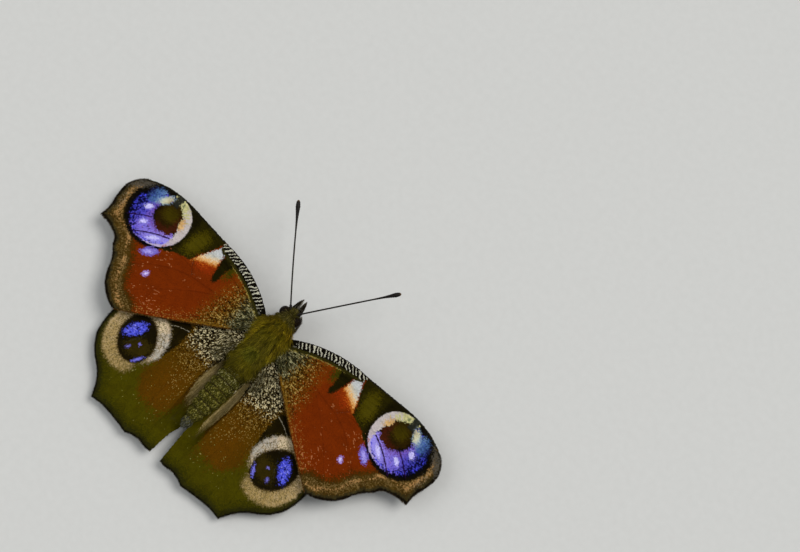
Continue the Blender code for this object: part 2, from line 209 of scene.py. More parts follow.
def strands(x, y, hub, turn, long, seed):
    """Random streaks that run out from the hinge, so many to a degree and so long, from 0 to 1."""
    angle = np.degrees(np.arctan2(y - hub[1], x - hub[0]))
    return patchy(angle * turn, np.hypot(x - hub[0], y - hub[1]) / long, 1.0, seed)


class Wing:
    """One kind of wing in plan, right side: its edge, veins, level and relief."""

    def __init__(self, margin, stems, level, hub):
        self.margin, self.level, self.hub = margin, level, hub
        self.edge = edge_of(margin, EDGE_STEP)
        self.veins = veins_of(margin, stems, VEIN_STEP)

    def height(self, x, y):
        """Veins stand up as thin ribs, and the membrane sags a little between them."""
        near = np.min([away_from(x, y, path) for path in self.veins.values()], axis=0)
        return self.level(x, y) + sum(high * np.exp(-((near / wide) ** 2)) for high, wide in (RIB, SWELL))

    def slope(self, x, y):
        """Height and unit normal of the upper face at each point."""
        z, step = self.height(x, y), 0.08
        dx = (self.height(x + step, y) - z) / step
        dy = (self.height(x, y + step) - z) / step
        return z, unit(np.column_stack((-dx, -dy, np.ones(len(x)))))

    def rim(self, first, last):
        """The part of the edge between two named places."""
        place = {name: at for name, at, *_ in self.margin}
        a, b = (np.linalg.norm(self.edge - place[name], axis=1).argmin() for name in (first, last))
        return self.edge[a : b + 1]

    def on_map(self, places):
        """Where places in plan lie on the wing's bake map."""
        low, high = self.edge.min(0) - MAP_MARGIN, self.edge.max(0) + MAP_MARGIN
        return (places - low) / (high - low).max()


forewing = Wing(FORE_MARGIN, FORE_STEMS, fore_level, (0.6, -1.2))
hindwing = Wing(HIND_MARGIN, HIND_STEMS, hind_level, (1.2, -2.5))


# The markings are made by the colour of single scales, each of one pigment. They are laid down here
# from named places in millimetres, and a scale takes the colour whose share is over its own draw.
def dye(code):
    """A hex colour as linear light."""
    parts = np.array([int(code[i : i + 2], 16) / 255 for i in (1, 3, 5)])
    return np.where(parts <= 0.04045, parts / 12.92, ((parts + 0.055) / 1.055) ** 2.4)


def oval(x, y, middle, half, tilt):
    """Signed distance from a tilted oval, below nought inside."""
    c, s = math.cos(math.radians(tilt)), math.sin(math.radians(tilt))
    u = ((x - middle[0]) * c + (y - middle[1]) * s) / half[0]
    v = (-(x - middle[0]) * s + (y - middle[1]) * c) / half[1]
    return (np.hypot(u, v) - 1) * min(half)


def field(x, y, corners):
    """Signed distance from a patch with these corners, below nought inside."""
    edge = np.array(corners, float)
    gap = away_from(x, y, np.concatenate((edge, edge[:1])))
    return np.where(within(x, y, edge), -gap, gap)


def share(distance, soft):
    """From nought outside an edge to one inside it, over a soft width."""
    return ease(0.5 - distance / soft)


def stripe(distance, middle, half, soft):
    """The share of a band on both sides of a line at a distance."""
    return share(np.abs(distance - middle) - half, soft)


def weave(x, y, coarse, fine, seed):
    """Coarse and fine patches mixed."""
    return patchy(x, y, coarse, seed) * 0.6 + patchy(x, y, fine, seed + 1) * 0.4


def round_eye(x, y, middle, seed):
    """Angle and distance from an eyespot's middle, and fine rays that run out from it."""
    turn = np.degrees(np.arctan2(y - middle[1], x - middle[0])) % 360
    reach = np.hypot(x - middle[0], y - middle[1])
    return turn, reach, patchy(turn * 0.06, reach * 0.22, 0.15, seed) - 0.5


class Dyes:
    """Colours of many scales at once, over a ground. Mottle is the lean of a lay that names none."""

    def __init__(self, x, y, ground, mottle, seed, draw):
        self.x, self.y, self.mottle, self.seed, self.draw = x, y, mottle, seed, draw
        self.colour = np.tile(dye(ground), (len(x), 1))

    def lay(self, amount, codes, lean=None, blend=0.3):
        """A scale takes the lay if its draw is under the amount, or with no draws it blends by it.

        Lean picks between the codes, and blend is how wide the change is about the draw.
        """
        self.seed += 1
        tones = np.array([dye(code) for code in codes.split()])
        pick = tones[0]
        if len(tones) > 1:
            along = np.clip(self.mottle if lean is None else lean, 0, 1) * (len(tones) - 1)
            low = np.minimum(along.astype(int), len(tones) - 2)
            pick = tones[low] + (tones[low + 1] - tones[low]) * (along - low)[:, None]
        if self.draw:
            chance = np.random.default_rng(self.seed).random(len(self.x))
            amount = ((1 + blend) * amount - chance) / blend
        self.colour = self.colour + (pick - self.colour) * np.reshape(np.clip(amount, 0, 1), (-1, 1))

    def spot(self, middle, half, tilt, soft, codes, amount=1.0, lean=None, fray=0.0, blend=0.3):
        """A lay over a tilted oval."""
        inside = share(oval(self.x, self.y, middle, half, tilt) + fray, soft)
        self.lay(inside * amount, codes, lean, blend)


FORE_EYE = (24.6, -0.1)
FORE_PUPIL = (24.35, 0.47)
FORE_CORE = (24.35, 1.08)
CELL_BAR = ((11.0, 2.4), (13.7, 2.6), (13.45, 1.4), (13.2, 0.2), (12.9, -1.2), (12.55, -2.0),
            (12.15, -2.25), (11.85, -1.8), (11.80, -0.5), (11.70, 0.8))
PALE_BAR = ((13.85, 2.75), (14.80, 3.0), (15.25, 1.9), (15.75, 0.7), (16.40, -0.5), (16.95, -1.9),
            (16.1, -1.25), (15.4, -0.75), (14.4, -0.45), (13.45, -0.10), (13.6, 1.0))
OLIVE_FIELD = ((14.85, 4.6), (15.05, 3.0), (15.40, 2.0), (15.95, 0.7), (16.6, -0.6), (17.15, -2.0),
               (18.4, -2.40), (19.8, -2.90), (21.2, -3.8), (21.9, -3.9), (21.2, -1.0), (21.5, 2.0),
               (24.6, 4.8), (18.0, 5.0))
FAN_SPOTS = (((27.8, -0.2), (0.62, 0.40)), ((26.75, -2.5), (0.62, 0.34)), ((23.75, -3.35), (0.98, 0.29)))


def fore_marks(x, y, seed, draw, side):
    """Upper side of either forewing: rust red, barred costa, pale bar, dark field and eyespot."""
    mottle, grain = weave(x, y, 0.9, 0.3, 11), weave(x, y, 0.15, 0.10, 13)
    speck = patchy(x, y, 0.15, 16)
    rim = away_from(x, y, forewing.rim("R3", "2A")) + 0.5 * (mottle - 0.5)
    costa = away_from(x, y, forewing.rim("root", "R3"))
    hem = away_from(x, y, forewing.rim("2A", "inner"))
    dyes = Dyes(x, y, "#6f2703", mottle, seed, draw)
    lay, spot = dyes.lay, dyes.spot
    lay(0.75, "#632303 #742b04")
    lay(ease((12.5 - x) / 4) * 0.7, "#683004 #743806")
    # Gold and grey dusting at the root
    lay(ease((11.2 - x - 0.22 * y) / 5.6) * 0.9, "#181204 #4e3406 #603f0c #a88e4a", (grain - 0.32) * 2.35)
    down = 0.4 * grain + 0.6 * strands(x, y, forewing.hub, 0.6, 0.32, 27)
    lay(ease((7.6 - x) / 3.2) * 0.8, "#080802 #25260b #58542a #bab486", (down - 0.35) * 3.2)
    lay(share(hem - 0.45, 0.9) * ease((16 - x) / 8) * 0.7, "#5a3c08 #86621e", grain)
    inner = ease((2.6 - hem) / 2.4) * ease((x - 9) / 4)
    lay(inner * ease((grain - 0.53) * 8) * 0.6, "#84541c #a6783a", speck)
    # Brown margin flecked with tan, darker on both sides
    lay(ease((4.4 - rim) / 2.0) * 0.85, "#3c2204 #4c2e06")
    lay(ease((3.2 - rim) / 0.9) * 0.9, "#362608 #48360e")
    bars = ease(patchy(x, y, 0.17, 15) * 1.9 + patchy(x, y, 0.9, 23) * 1.3 - 1.15)
    track = np.interp(x, (19, 22, 24.5, 26.5, 29, 30.6, 32), (1.2, 1.35, 1.85, 2.15, 2.15, 1.55, 1.2))
    glow = np.interp(x, (19, 21, 23, 25.5, 27.5, 31, 33), (0.45, 0.95, 0.55, 0.9, 1.0, 0.9, 0.5))
    flecks = 0.12 + 0.35 * bars + 0.4 * ease((grain - 0.5) * 6)
    lay(stripe(rim, 1.6, 0.9, 0.9) * flecks, "#52401c #7a6238", grain)
    spot((31.6, -2.0), (0.8, 2.2), 12, 0.9, "#5c5440 #7a6c52", 0.2 + 0.5 * bars, grain)
    lay(stripe(rim, track, 0.38, 0.7) * (0.16 + 0.72 * bars) * glow, "#8c6434 #b48c58", grain)
    lay(ease((0.95 - rim) / 0.6) * 0.85, "#2a2411 #3c351d")
    lay(ease((0.40 - rim) / 0.25) * 0.92, "#120d06")
    # Black ground of the eyespot
    spot((25.62, -0.30), (5.48, 5.22), 0, 0.6, "#080602 #141006")
    # Painted sheen: a grey patch at the top right of the black ground
    spot((31.0, 1.9), (0.75, 2.4), 42, 1.0, "#403c34 #585248", 0.7)
    # Dark olive field between pale bar and eyespot
    olive = field(x, y, OLIVE_FIELD) + 0.25 * (mottle - 0.5)
    lay(share(olive, 0.45), "#1a1602 #272203")
    middle = ease(1.25 - np.abs(oval(x, y, (18.1, 0.6), (1.9, 3.6), 12) + 1.9) / 1.9)
    lay(share(olive, 0.3) * middle * 0.92, "#302a02 #423a03 #4c4408", middle * 0.8 + 0.4 * (mottle - 0.5))
    lay(share(olive + 0.2, 0.5) * ease((x - 19.4) / 1.2) * 0.9, "#0f0c02 #1a1503")
    lay(share(costa - 0.25, 0.3) * ease((x - 14.8) / 0.6) * 0.8, "#1c1a12")
    # Eyespot: blue and violet fan with a dark line between its parts
    turn, reach, rays = round_eye(x, y, FORE_EYE, 21)
    top = np.maximum(y - 3.15, (x + y) * 0.707 - 21.75)
    fan = np.maximum(oval(x, y, (25.35, -0.25), (4.80, 4.62), 0), top)
    swing = (np.degrees(np.arctan2(y - FORE_CORE[1] + 0.3, x - FORE_CORE[0] - 0.2)) + 90) % 360
    sector = ease((swing - 300) / 8) * (swing > 180) + ease((162 - swing) / 8) * (swing < 180)
    blue = share(fan, 0.5) * sector
    outwards = (x + 0.35 * y - 21.8) / 7.6 + 0.25 * (speck - 0.5)
    lay(blue * 0.96, "#988ee4 #8a7cda #7262ce #4642b8 #3038a0", outwards)
    spot(FORE_PUPIL, (3.3, 3.2), 0, 1.6, "#66449a #8462ba", sector * 0.6, grain)
    deep = ease((x - 26.2) / 3.0) * 0.75 + ease((fan + 1.3) / 1.2) * 0.8 * ease((x - 21.8) / 2)
    dark = np.minimum(deep, 1) * ease((speck - 0.56 + 0.22 * deep) * 9)
    lay(blue * dark * 0.95, "#05051a #0c0c34", grain)
    lay(blue * ease((grain - 0.57) * 9) * ease((x - 21.6) / 3.5) * 0.38, "#1a1250 #2a1a6c", speck)
    outer = share(fan + 0.1, 0.5) * ease((fan + 0.9) / 0.7) * sector
    lay(outer * ease((grain - 0.50) * 9) * 0.85, "#3030bc #4648dc", speck)
    lay(stripe(fan, 0.12, 0.22, 0.4) * sector * ease((speck - 0.30) * 6) * 0.85, "#05050f")
    spot((28.2, 1.9), (1.2, 1.5), 30, 1.0, "#7c9cbc #446498 #20285a", 0.75, (x - 27.4) / 2.6 + speck * 0.5)
    for place, (long, wide) in FAN_SPOTS:
        spot(place, (long + 0.35, wide + 0.25), -38, 0.9, "#9a92e6", 0.38)
        spot(place, (long, wide), -38, 0.5, "#beb8f2 #d8d2fa", 0.92, speck)
    for name, wide in (("M1", 0.07), ("M2", 0.09)):
        vein = away_from(x, y, forewing.veins[name])
        lay(share(vein - wide, 0.12) * share(fan - 0.4, 0.5) * sector * 0.9, "#180c34 #2c1030")
    # Eyespot: pale arc, ragged on its inner side, gold and cream next to the pupil
    bend = (72, 84, 100, 135, 158, 180, 205, 225, 245, 262, 275)
    thick = np.interp(turn, bend, (0, 1.5, 1.9, 2.05, 2.10, 1.75, 0.90, 0.45, 0.28, 0.14, 0))
    brim = np.interp(turn, (60, 100, 140, 180, 220, 270), (4.20, 4.20, 4.30, 4.25, 4.42, 4.55))
    arc = np.maximum(reach - brim, brim - thick + 0.55 * rays * (thick > 0.6) - reach)
    lay(share(arc, 0.28) * (thick > 0.05), "#c0b6b2 #b9acb2 #b8a8cc", ease((turn - 195) / 30) + 0.6 * rays)
    cream = np.maximum(share(reach - (brim - thick * 0.12) - 0.5 * rays, 0.9), ease((138 - turn) / 26))
    cream = cream * share(arc, 0.35) * (thick > 0.05)
    lay(cream * ease((158 - turn + 60 * rays) / 36) * 0.92, "#cbc48a #b0ac76", grain + rays)
    lay(cream * ease((122 - turn) / 20) * ease((rays - 0.02) * 8) * 0.75, "#5c6238 #90966a", grain)
    gold = stripe(turn, 156, 20, 24) * share(reach - brim + thick * 0.46 - 0.5 * rays, 0.8)
    lay(gold * share(arc, 0.35) * 0.95, "#b88a48 #d8b47c", grain + rays)
    # Eyespot: dark pupil, red-brown towards the body, olive in the middle, with a stalk to the costa
    hole = oval(x, y, FORE_PUPIL, (2.68, 2.32), 45) + 0.45 * (speck - 0.5) + 0.5 * rays
    hole = hole + 0.38 * stripe(turn, 156, 16, 20)
    lay(share(hole, 0.45), "#2c1e03 #221603")
    ruddy = ease((FORE_PUPIL[0] + 0.9 - x - 0.9 * (y - FORE_PUPIL[1])) / 2.6)
    lay(share(hole, 0.5) * share(-1.0 - hole, 1.2) * ruddy * 0.9, "#461e0d #321408", blend=0.8)
    spot(FORE_CORE, (1.30, 1.20), 0, 2.2, "#372e03 #413704", 0.9, blend=0.9)
    lay(stripe(hole, -0.2, 0.25, 0.4) * ease(x - 25.0) * 0.85, "#120c06")
    lay(share(np.maximum(np.abs(x - 24.95) - 0.60, 2.4 - y), 0.4) * 0.95, "#141410 #32332a")
    pearl = oval(x, y, (26.50, 2.25), (1.05, 0.52), -52) + 0.25 * (speck - 0.5)
    lay(share(pearl - 0.25, 0.5) * 0.55, "#8098a8")
    lay(share(pearl, 0.6), "#bcae88 #cccaac #b4c0be", (x - 25.9) / 1.3 + 0.3 * (grain - 0.5))
    # Two violet spots below the eyespot
    spot((22.6, -5.3), (1.42, 0.68), -38, 0.5, "#6252b0 #7e70cc", 1, grain, 0.4 * (speck - 0.5))
    spot((22.7, -5.35), (0.85, 0.30), -38, 0.5, "#9a8ee2 #b6acee", 0.85, speck)
    spot((20.5, -8.15), (0.62, 0.42), -60, 0.4, "#9074c4 #ac94d6", 1, grain, 0.2 * (speck - 0.5))
    spot((20.5, -8.15), (0.32, 0.18), -60, 0.3, "#d8cdf0", 0.9)
    # Glow, pale bar and black bar in the cell
    spot((14.6, -0.9), (1.7, 1.2), -15, 2.4, "#8e2e09 #7c2905", 0.95)
    spot((15.0, -0.9), (1.5, 0.5), -32, 1.3, "#b0440e #c06a1e", ease((grain - 0.42) * 6) * 0.65, speck)
    pale = field(x, y, PALE_BAR) + 0.55 * (grain - 0.5)
    lay(share(pale - 0.1, 0.6) * ease(1.8 - y) * 0.7, "#a85a1c")
    tint = (y + 0.75) / 2.4 + 0.18 * (x - 14.6) * (y < 1.2) + 0.5 * (grain - 0.5) * (y < 1.0)
    lay(share(pale, 0.4), "#b0621c #dba562 #dac4a0 #bcbdb6 #c0c2c2", tint)
    spot((11.3, 0.9), (0.9, 1.5), 0, 1.6, "#343103 #423e06", 0.9)
    lay(share(field(x, y, CELL_BAR) + 0.2 * (mottle - 0.5), 0.6), "#120f02 #201c03")
    # Barred costa: uneven cream bars on black, with an olive strip and a gold line behind
    ahead = np.maximum(x - 0.66 * (costa - 0.7) - 3.0, 0)
    pace = np.log(0.46 + 0.020 * ahead) / 0.020
    depth = np.interp(x, (2.6, 5.0, 9.0, 14.0, 15.2), (0.9, 1.25, 1.35, 1.15, 0.6))
    ends = ease((15.2 - x) / 0.5)
    lay(share(costa - depth - 0.42, 0.3) * ends, "#1a1706 #36320c", grain)
    line = costa - depth - 0.50 + 0.16 * (patchy(x, y, 0.55, 26) - 0.5)
    line = stripe(line, 0, 0.08, 0.14) * ends * ease((12.5 - x) / 2)
    lay(line * ease((grain - 0.2) * 5) * 0.9, "#7e7034")
    lay(share(costa - depth, 0.2) * ends, "#0c0a05")
    wave = np.abs((pace + 0.9 * (patchy(x, y, 0.7, 17) - 0.5)) % 1.0 - 0.5)
    cross = np.abs((pace * 0.5 + 1.9 * costa + 0.8 * patchy(x, y, 0.8, 24)) % 1.0 - 0.5) * 2
    cross = cross + 0.30 * (patchy(x, y, 1.3, 25) < 0.72) + 0.5 * (x < 6.2)
    half = 0.085 + 0.10 * patchy(x, y, 0.3, 20) + 0.04 * ease((x - 12.5) / 1.5)
    cream = share(costa - depth * (0.82 + 0.22 * patchy(x, y, 0.5, 22)), 0.15) * share(0.10 - costa, 0.1)
    cream = cream * share(np.minimum(wave, cross) - half, 0.12) * ends
    lay(cream * ease((x - 3.1) / 1.5), "#d0ccb8 #a8a48c", grain)
    # Painted highlight: a pale line along the very edge of the costa
    lay(share(0.02 + costa, 0.1) * ends * 0.5, "#8c8872")
    # Flecks where scales are worn off
    worn = patchy((x * 0.8 - y * 0.6) * 0.45, x * 0.6 + y * 0.8, 0.15, 18)
    worn = worn * (0.62 + 0.38 * patchy(x, y, 1.6, 19))
    where = ease((x - 11) / 3) * ease((rim - 2.0) / 2) * ease((-2.2 - y) / 1.2)
    lay(ease((worn - 0.735) * 14) * where * 0.72, "#94481e #b47a4e", grain)
    return dyes.colour


HIND_EYE = (14.6, -16.25)
BLACK_PATCH = ((9.3, -9.2), (11.0, -8.6), (13.4, -10.3), (12.4, -11.1), (11.3, -12.2), (10.6, -13.6),
               (10.2, -15.2), (9.9, -15.8), (9.6, -14.6), (9.2, -12.6), (9.2, -10.8))
PATCH_VEIN = ((9.4, -9.9), (11.0, -10.4), (12.6, -11.3))
BLUE_DABS = (((12.2, -18.3), (0.95, 0.28), -57, "#6664c6"), ((14.7, -17.85), (0.48, 0.30), -50, "#544e98"),
             ((13.5, -16.45), (0.30, 0.20), 60, "#6a62b0"))


def hind_marks(x, y, seed, draw, side):
    """Upper side of the hindwing: brown to olive, dusted root and a blue eyespot in a pale ring."""
    mottle, grain = weave(x, y, 0.9, 0.3, 31), weave(x, y, 0.14, 0.09, 33)
    speck = patchy(x, y, 0.15, 35)
    dust = 0.66 * grain + 0.34 * strands(x, y, hindwing.hub, 1.3, 0.30, 38)
    rim = away_from(x, y, hindwing.rim("Rs", "anal"))
    # How far out the dust reaches, half the fold's width, and where it ends: shorter on the left
    dusted, wide, end = (11.4, 0.74, 21.0) if side > 0 else (8.6, 0.86, 19.2)
    dyes = Dyes(x, y, "#4e3403", mottle, seed, draw)
    lay, spot = dyes.lay, dyes.spot
    lay(0.8, "#483002 #523703")
    ember = share(oval(x, y, (6.4, -18.4), (2.5, 5.2), 8), 5.0)
    lay(ember * 0.8, "#523202 #5c3803")
    olive = ease((-17.5 - y) / 8.0) + ease((x - 7.8) / 4.0) * 0.85 + ease((4.0 - x) / 1.8) * 0.7
    olive = olive + (mottle - 0.5) * 0.5 - 0.7 * ember * ease((y + 22.6) / 2.2)
    lay(ease(olive) * 0.97, "#3c3602 #474203")
    lay(ease((3.0 - rim) / 2.4) * 0.8, "#2e2c03 #383504")
    lay(ease(1.3 - rim) * 0.85, "#1f1d06 #2b2a0b")
    lay(ease((0.3 - rim) / 0.2) * 0.9, "#0f0d06")
    lay(ease((y + 9.5) / 2 + (x - 10) / 5) * 0.9, "#4a3a22 #5a4a30")
    # Dusted root
    root = ease((y + 17.5) / 7.5) * ease((10.4 - x) / 2.4) * ease((x - 2.9) / 1.4)
    lay(root * 0.75, "#1a1002 #4a3006 #543808 #a88c48", (grain - 0.35) * 2.6)
    thin = ease((y + 18.6 + 2.2 * ease((7.5 - x) / 3)) / 3.0)
    thin = thin * ease((dusted - x) / 2.4) * ease((x - 2.9) / 1.2)
    lay(thin * ease((grain - 0.62) * 9) * 0.55, "#7a6026 #a0864a", speck)
    close = ease((y + 12.9 - 0.12 * (x - 6)) / 3.4) * ease((9.8 - x) / 1.6)
    lay(close * 0.92, "#0a0602 #1a1408 #5c4e2c #d0c49a", (dust - 0.372) * 3.8)
    # Buff folds beside the abdomen, finely streaked along their length
    streak = patchy(x, y * 0.10, 0.10, 36)
    stations = (-20.0, -17.4, -14.5, -11.9, -9.0)
    fold = np.abs(x - np.interp(y, stations, (2.15, 2.30, 2.58, 2.62, 2.38)))
    fold = fold - np.interp(y, stations, (0.38, 0.68, wide, 0.64, 0.40))
    along = ease((-8.4 - y) / 1.4) * ease((y + end) / 3.6)
    lay(share(fold, 0.45) * along * 0.97, "#64572c #8c7a4c #b29c6a", streak * 0.8 + 0.5 * (speck - 0.3), 0.8)
    lay(stripe(fold, 0.22, 0.06, 0.2) * (x > 2.4) * along * 0.75, "#221a06")
    sparse = ease((grain - 0.80) * 12) * ease((-17 - y) / 3) * ease((rim - 1.2) / 1.5)
    lay(sparse * 0.6, "#7c7c34 #a8a060", speck)
    # Black patch, fading towards the brown, and the fine pale vein in it
    patch = field(x, y, BLACK_PATCH) + 0.3 * (mottle - 0.5)
    lay(share(patch - 0.3, 1.6) * share(-8.4 - y, 1.0) * 0.85, "#241a04 #2e2404")
    lay(share(patch, 0.6), "#120d02 #1f1803")
    lay(share(away_from(x, y, np.array(PATCH_VEIN)) - 0.05, 0.1) * 0.8, "#8c8470")
    # Eyespot ring, open at the lower inner side and frayed outwards
    turn, reach, rays = round_eye(x, y, HIND_EYE, 37)
    turns = (0, 30, 60, 90, 120, 150, 180, 200, 222, 246, 270, 300, 330, 360)
    far = np.interp(turn, turns, (4.9, 5.3, 5.4, 5.6, 5.5, 4.9, 4.45, 4.15, 4.1, 5.15, 5.15, 5.1, 5.0, 4.9))
    outer = reach - far + 0.35 * (mottle - 0.5) + 0.25 * rays
    faint = np.interp(turn, (0, 60, 180, 196, 222, 240, 262, 360), (1, 1, 1, 0.65, 0.12, 0.7, 0.95, 1))
    soft = np.interp(turn, (0, 110, 150, 200, 260, 320, 360), (0.8, 1.0, 1.3, 1.2, 2.2, 1.2, 0.8))
    warm = np.interp(turn, (0, 60, 95, 112, 135, 180, 240, 300, 360),
                     (0.8, 0.6, 0.5, 0.4, 0.12, 0.05, 0.95, 0.95, 0.8))
    warm = warm + 0.4 * (grain - 0.5) + 0.3 * rays
    lay(share(outer - 0.3, 1.2) * faint * 0.5, "#4c4018")
    lay(share(outer, soft) * faint * 0.97, "#b6b0a4 #cab496 #b8a078 #a48a54", warm, 1.2)
    # Painted light: the top of the ring, where the forewing's edge casts its shadow, is lightened
    lay(share(outer + 0.3, 0.9) * stripe(turn, 110, 14, 28) * 0.9, "#e0cca8", blend=0.8)
    lay(share(outer - 0.1, 0.5) * share(0.35 + outer, 0.5) * 0.4, "#6a5c34")
    hole = oval(x, y, (14.45, -16.05), (3.60, 2.82), 60)
    shadow = share(hole - 0.42 - 0.3 * rays, 1.1) * np.where((turn > 190) & (turn < 250), 0.3, 0.8)
    lay(shadow, "#4a3a18 #2e2208", 0.5 - hole, 1.0)
    lay(share(hole - 0.16, 0.6), "#191204", blend=0.8)
    lay(share(hole + 0.1, 0.4), "#100c03 #1c1604")
    spot((13.4, -16.9), (1.5, 2.2), 60, 1.6, "#2a2205 #342a08", 0.9)
    # Its blue flecks
    bean = oval(x, y, (15.6, -15.15), (1.80, 0.92), -60) + 0.6 * (speck - 0.5)
    lay(share(bean - 0.2, 0.5) * ease((grain - 0.5) * 6) * 0.8, "#2c3090")
    lay(share(bean, 0.4) * 0.95, "#363ab8 #4a50d6 #6a72ea", grain * 1.2 - 0.1)
    lay(share(bean, 0.5) * ease((speck - 0.62) * 8) * 0.8, "#0c0c34")
    lay(share(bean + 0.1, 0.4) * ease((grain - 0.66) * 9) * 0.8, "#8c8ce8")
    for *place, code in BLUE_DABS:
        dab = oval(x, y, *place) + 0.2 * (speck - 0.5)
        lay(share(dab, 0.35) * 0.9, code + " #8c8ae4", ease(-dab / 0.3) * speck)
    spot((14.6, -16.3), (1.5, 0.12), -60, 0.5, "#3c4844", ease((grain - 0.45) * 5) * 0.5, blend=0.8)
    return dyes.colour


def under_marks(wing, x, y, seed, draw):
    """Underside of either wing: near black, with fine darker and paler cross lines."""
    dyes = Dyes(x, y, "#1c1711", weave(x, y, 0.9, 0.3, 51), seed, draw)
    rim = away_from(x, y, wing.edge)
    reach = np.hypot(x - wing.hub[0], y - wing.hub[1])
    line = (reach / 0.62 + 2.2 * patchy(x, y, 2.4, 53) + 0.8 * patchy(x, y, 0.7, 54)) % 1.0
    band = reach + 1.6 * patchy(x, y, 3.0, 55)
    dyes.lay(stripe(line, 0.5, 0.16, 0.15) * 0.75, "#2f2820 #42392e")
    dyes.lay(stripe(band, 13.0, 3.0, 0.5) * 0.55, "#0e0b08")
    dyes.lay(stripe(band, 16.2, 0.15, 0.3) * 0.7, "#5a4e40")
    dyes.lay(stripe(band, 9.8, 0.12, 0.3) * 0.6, "#54483a")
    dyes.lay(stripe(rim, 1.5, 0.5, 0.6) * 0.5, "#3c3226 #4e4234")
    dyes.lay(ease((0.35 - rim) / 0.2) * 0.8, "#0d0a07")
    return dyes.colour


# Each membrane is built as one thin closed shell over the whole wing, with its veins raised in it.
# It carries the same markings as its scales, seen only where scales stand apart or are worn.
class Paint:
    """The nodes of one material."""

    def __init__(self, name):
        self.material = bpy.data.materials.new(name)
        self.material.use_nodes = True
        self.tree = self.material.node_tree
        self.tree.nodes.clear()

    def add(self, kind, settings=None, **inputs):
        """A node with its settings, and its sockets linked or set, each by its name or number."""
        node = self.tree.nodes.new(kind)
        for key, value in (settings or {}).items():
            setattr(node, key, value)
        for key, value in inputs.items():
            socket = node.inputs[int(key[2:]) if key.startswith("in") else key.replace("_", " ")]
            if isinstance(value, bpy.types.NodeSocket):
                self.tree.links.new(value, socket)
            else:
                socket.default_value = value
        return node


def rgba(code):
    """A hex colour as linear light with full cover."""
    return (*dye(code), 1.0)


def surface(name, grit, tones, rough, shine=0.5, detail=3.0, pits=None):
    """A material whose fine grit blends two colours, or dims and lifts the piece's own marks.

    The grit is in cells to a metre, so 5000 stands for a fifth of a millimetre. That is coarser
    than in life, where it would be too fine to show. Pits have a strength, a depth and, unless
    they are the grit itself, cells of their own.
    """
    paint = Paint(name)
    place = paint.add("ShaderNodeTexCoord").outputs["Object"]
    fine = paint.add("ShaderNodeTexNoise", Vector=place, Scale=grit, Detail=detail).outputs["Fac"]
    if isinstance(tones, str):
        dark, light = (rgba(code) for code in tones.split())
        tint = paint.add("ShaderNodeMix", {"data_type": "RGBA"}, in0=fine, in6=dark, in7=light)
    else:
        marks = paint.add("ShaderNodeAttribute", {"attribute_name": "marks"}).outputs["Color"]
        swing = paint.add("ShaderNodeMapRange", Value=fine, To_Min=tones[0], To_Max=tones[1])
        tint = paint.add("ShaderNodeMix", {"data_type": "RGBA", "blend_type": "MULTIPLY"},
                         in0=1.0, in6=marks, in7=swing.outputs["Result"])
    if isinstance(rough, tuple):
        wear = paint.add("ShaderNodeMapRange", Value=fine, To_Min=rough[0], To_Max=rough[1])
        rough = wear.outputs["Result"]
    skin = paint.add("ShaderNodeBsdfPrincipled", Base_Color=tint.outputs[2], Roughness=rough,
                     Specular_IOR_Level=shine)
    if pits:
        strength, depth, *cells = pits
        if cells:
            fine = paint.add("ShaderNodeTexVoronoi", Vector=place, Scale=cells[0]).outputs["Distance"]
        bump = paint.add("ShaderNodeBump", Height=fine, Strength=strength, Distance=depth)
        paint.tree.links.new(bump.outputs[0], skin.inputs["Normal"])
    paint.add("ShaderNodeOutputMaterial", Surface=skin.outputs[0])
    return paint.material


def mesh_piece(name, points, faces, marks, paint, smooth=True):
    """A mesh object in the row's frame from points in millimetres, with a colour at each point."""
    mesh = bpy.data.meshes.new(name)
    mesh.vertices.add(len(points))
    placed = (np.asarray(points) + (0, AHEAD, 0)) * MM
    mesh.vertices.foreach_set("co", placed.astype(np.float32).ravel())
    ends = np.cumsum([len(f) for f in faces])
    mesh.loops.add(int(ends[-1]))
    mesh.loops.foreach_set("vertex_index", np.concatenate(faces).astype(np.int32))
    mesh.polygons.add(len(faces))
    mesh.polygons.foreach_set("loop_start", np.concatenate(([0], ends[:-1])).astype(np.int32))
    mesh.polygons.foreach_set("use_smooth", np.full(len(faces), smooth))
    mesh.update(calc_edges=True)
    if marks is not None:
        colours = np.ones((len(points), 4), np.float32)
        colours[:, :3] = marks
        mesh.attributes.new("marks", "FLOAT_COLOR", "POINT").data.foreach_set("color", colours.ravel())
    mesh.materials.append(paint)
    piece = bpy.data.objects.new(name, mesh)
    bpy.context.scene.collection.objects.link(piece)
    return piece


def dress(piece, slot, *nodes):
    """Which solids a piece stands in for, and that it rides on the one body. Its slot is not used."""
    if nodes:
        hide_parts(*nodes)
    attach(piece, "root")


def sideways(ways):
    """Ways in plan turned a quarter to the left, at length one."""
    return unit(np.column_stack((-ways[:, 1], ways[:, 0])))


# Lanes of points beside each vein, the grid between them, and how far it keeps from the edge
LANES, GRID, CLEAR = (-0.5, -0.14, 0, 0.14, 0.5), 0.55, 0.25
JOIN = 0.02


def membrane(wing):
    """Plan of one wing split into triangles, finer along the veins."""
    points = list(wing.edge)
    joins = [(i, (i + 1) % len(points)) for i in range(len(points))]
    for path in wing.veins.values():
        across = sideways(np.gradient(path, axis=0))
        for offset in LANES:
            line = path[1:-1] + across[1:-1] * offset
            points += list(line[within(*line.T, wing.edge)])
    columns = (np.arange(low, high, GRID) for low, high in zip(wing.edge.min(0), wing.edge.max(0)))
    grid = np.stack(np.meshgrid(*columns), -1).reshape(-1, 2)
    clear = away_from(*grid.T, np.concatenate((wing.edge, wing.edge[:1]))) > CLEAR
    points += list(grid[within(*grid.T, wing.edge) & clear])
    spread, _, faces, *_ = delaunay_2d_cdt([Vector(p) for p in points], joins, [], 0, JOIN, False)
    plan, tri = np.array([tuple(p) for p in spread]), np.array(faces)
    return plan, tri[within(*plan[tri].mean(1).T, wing.edge)]


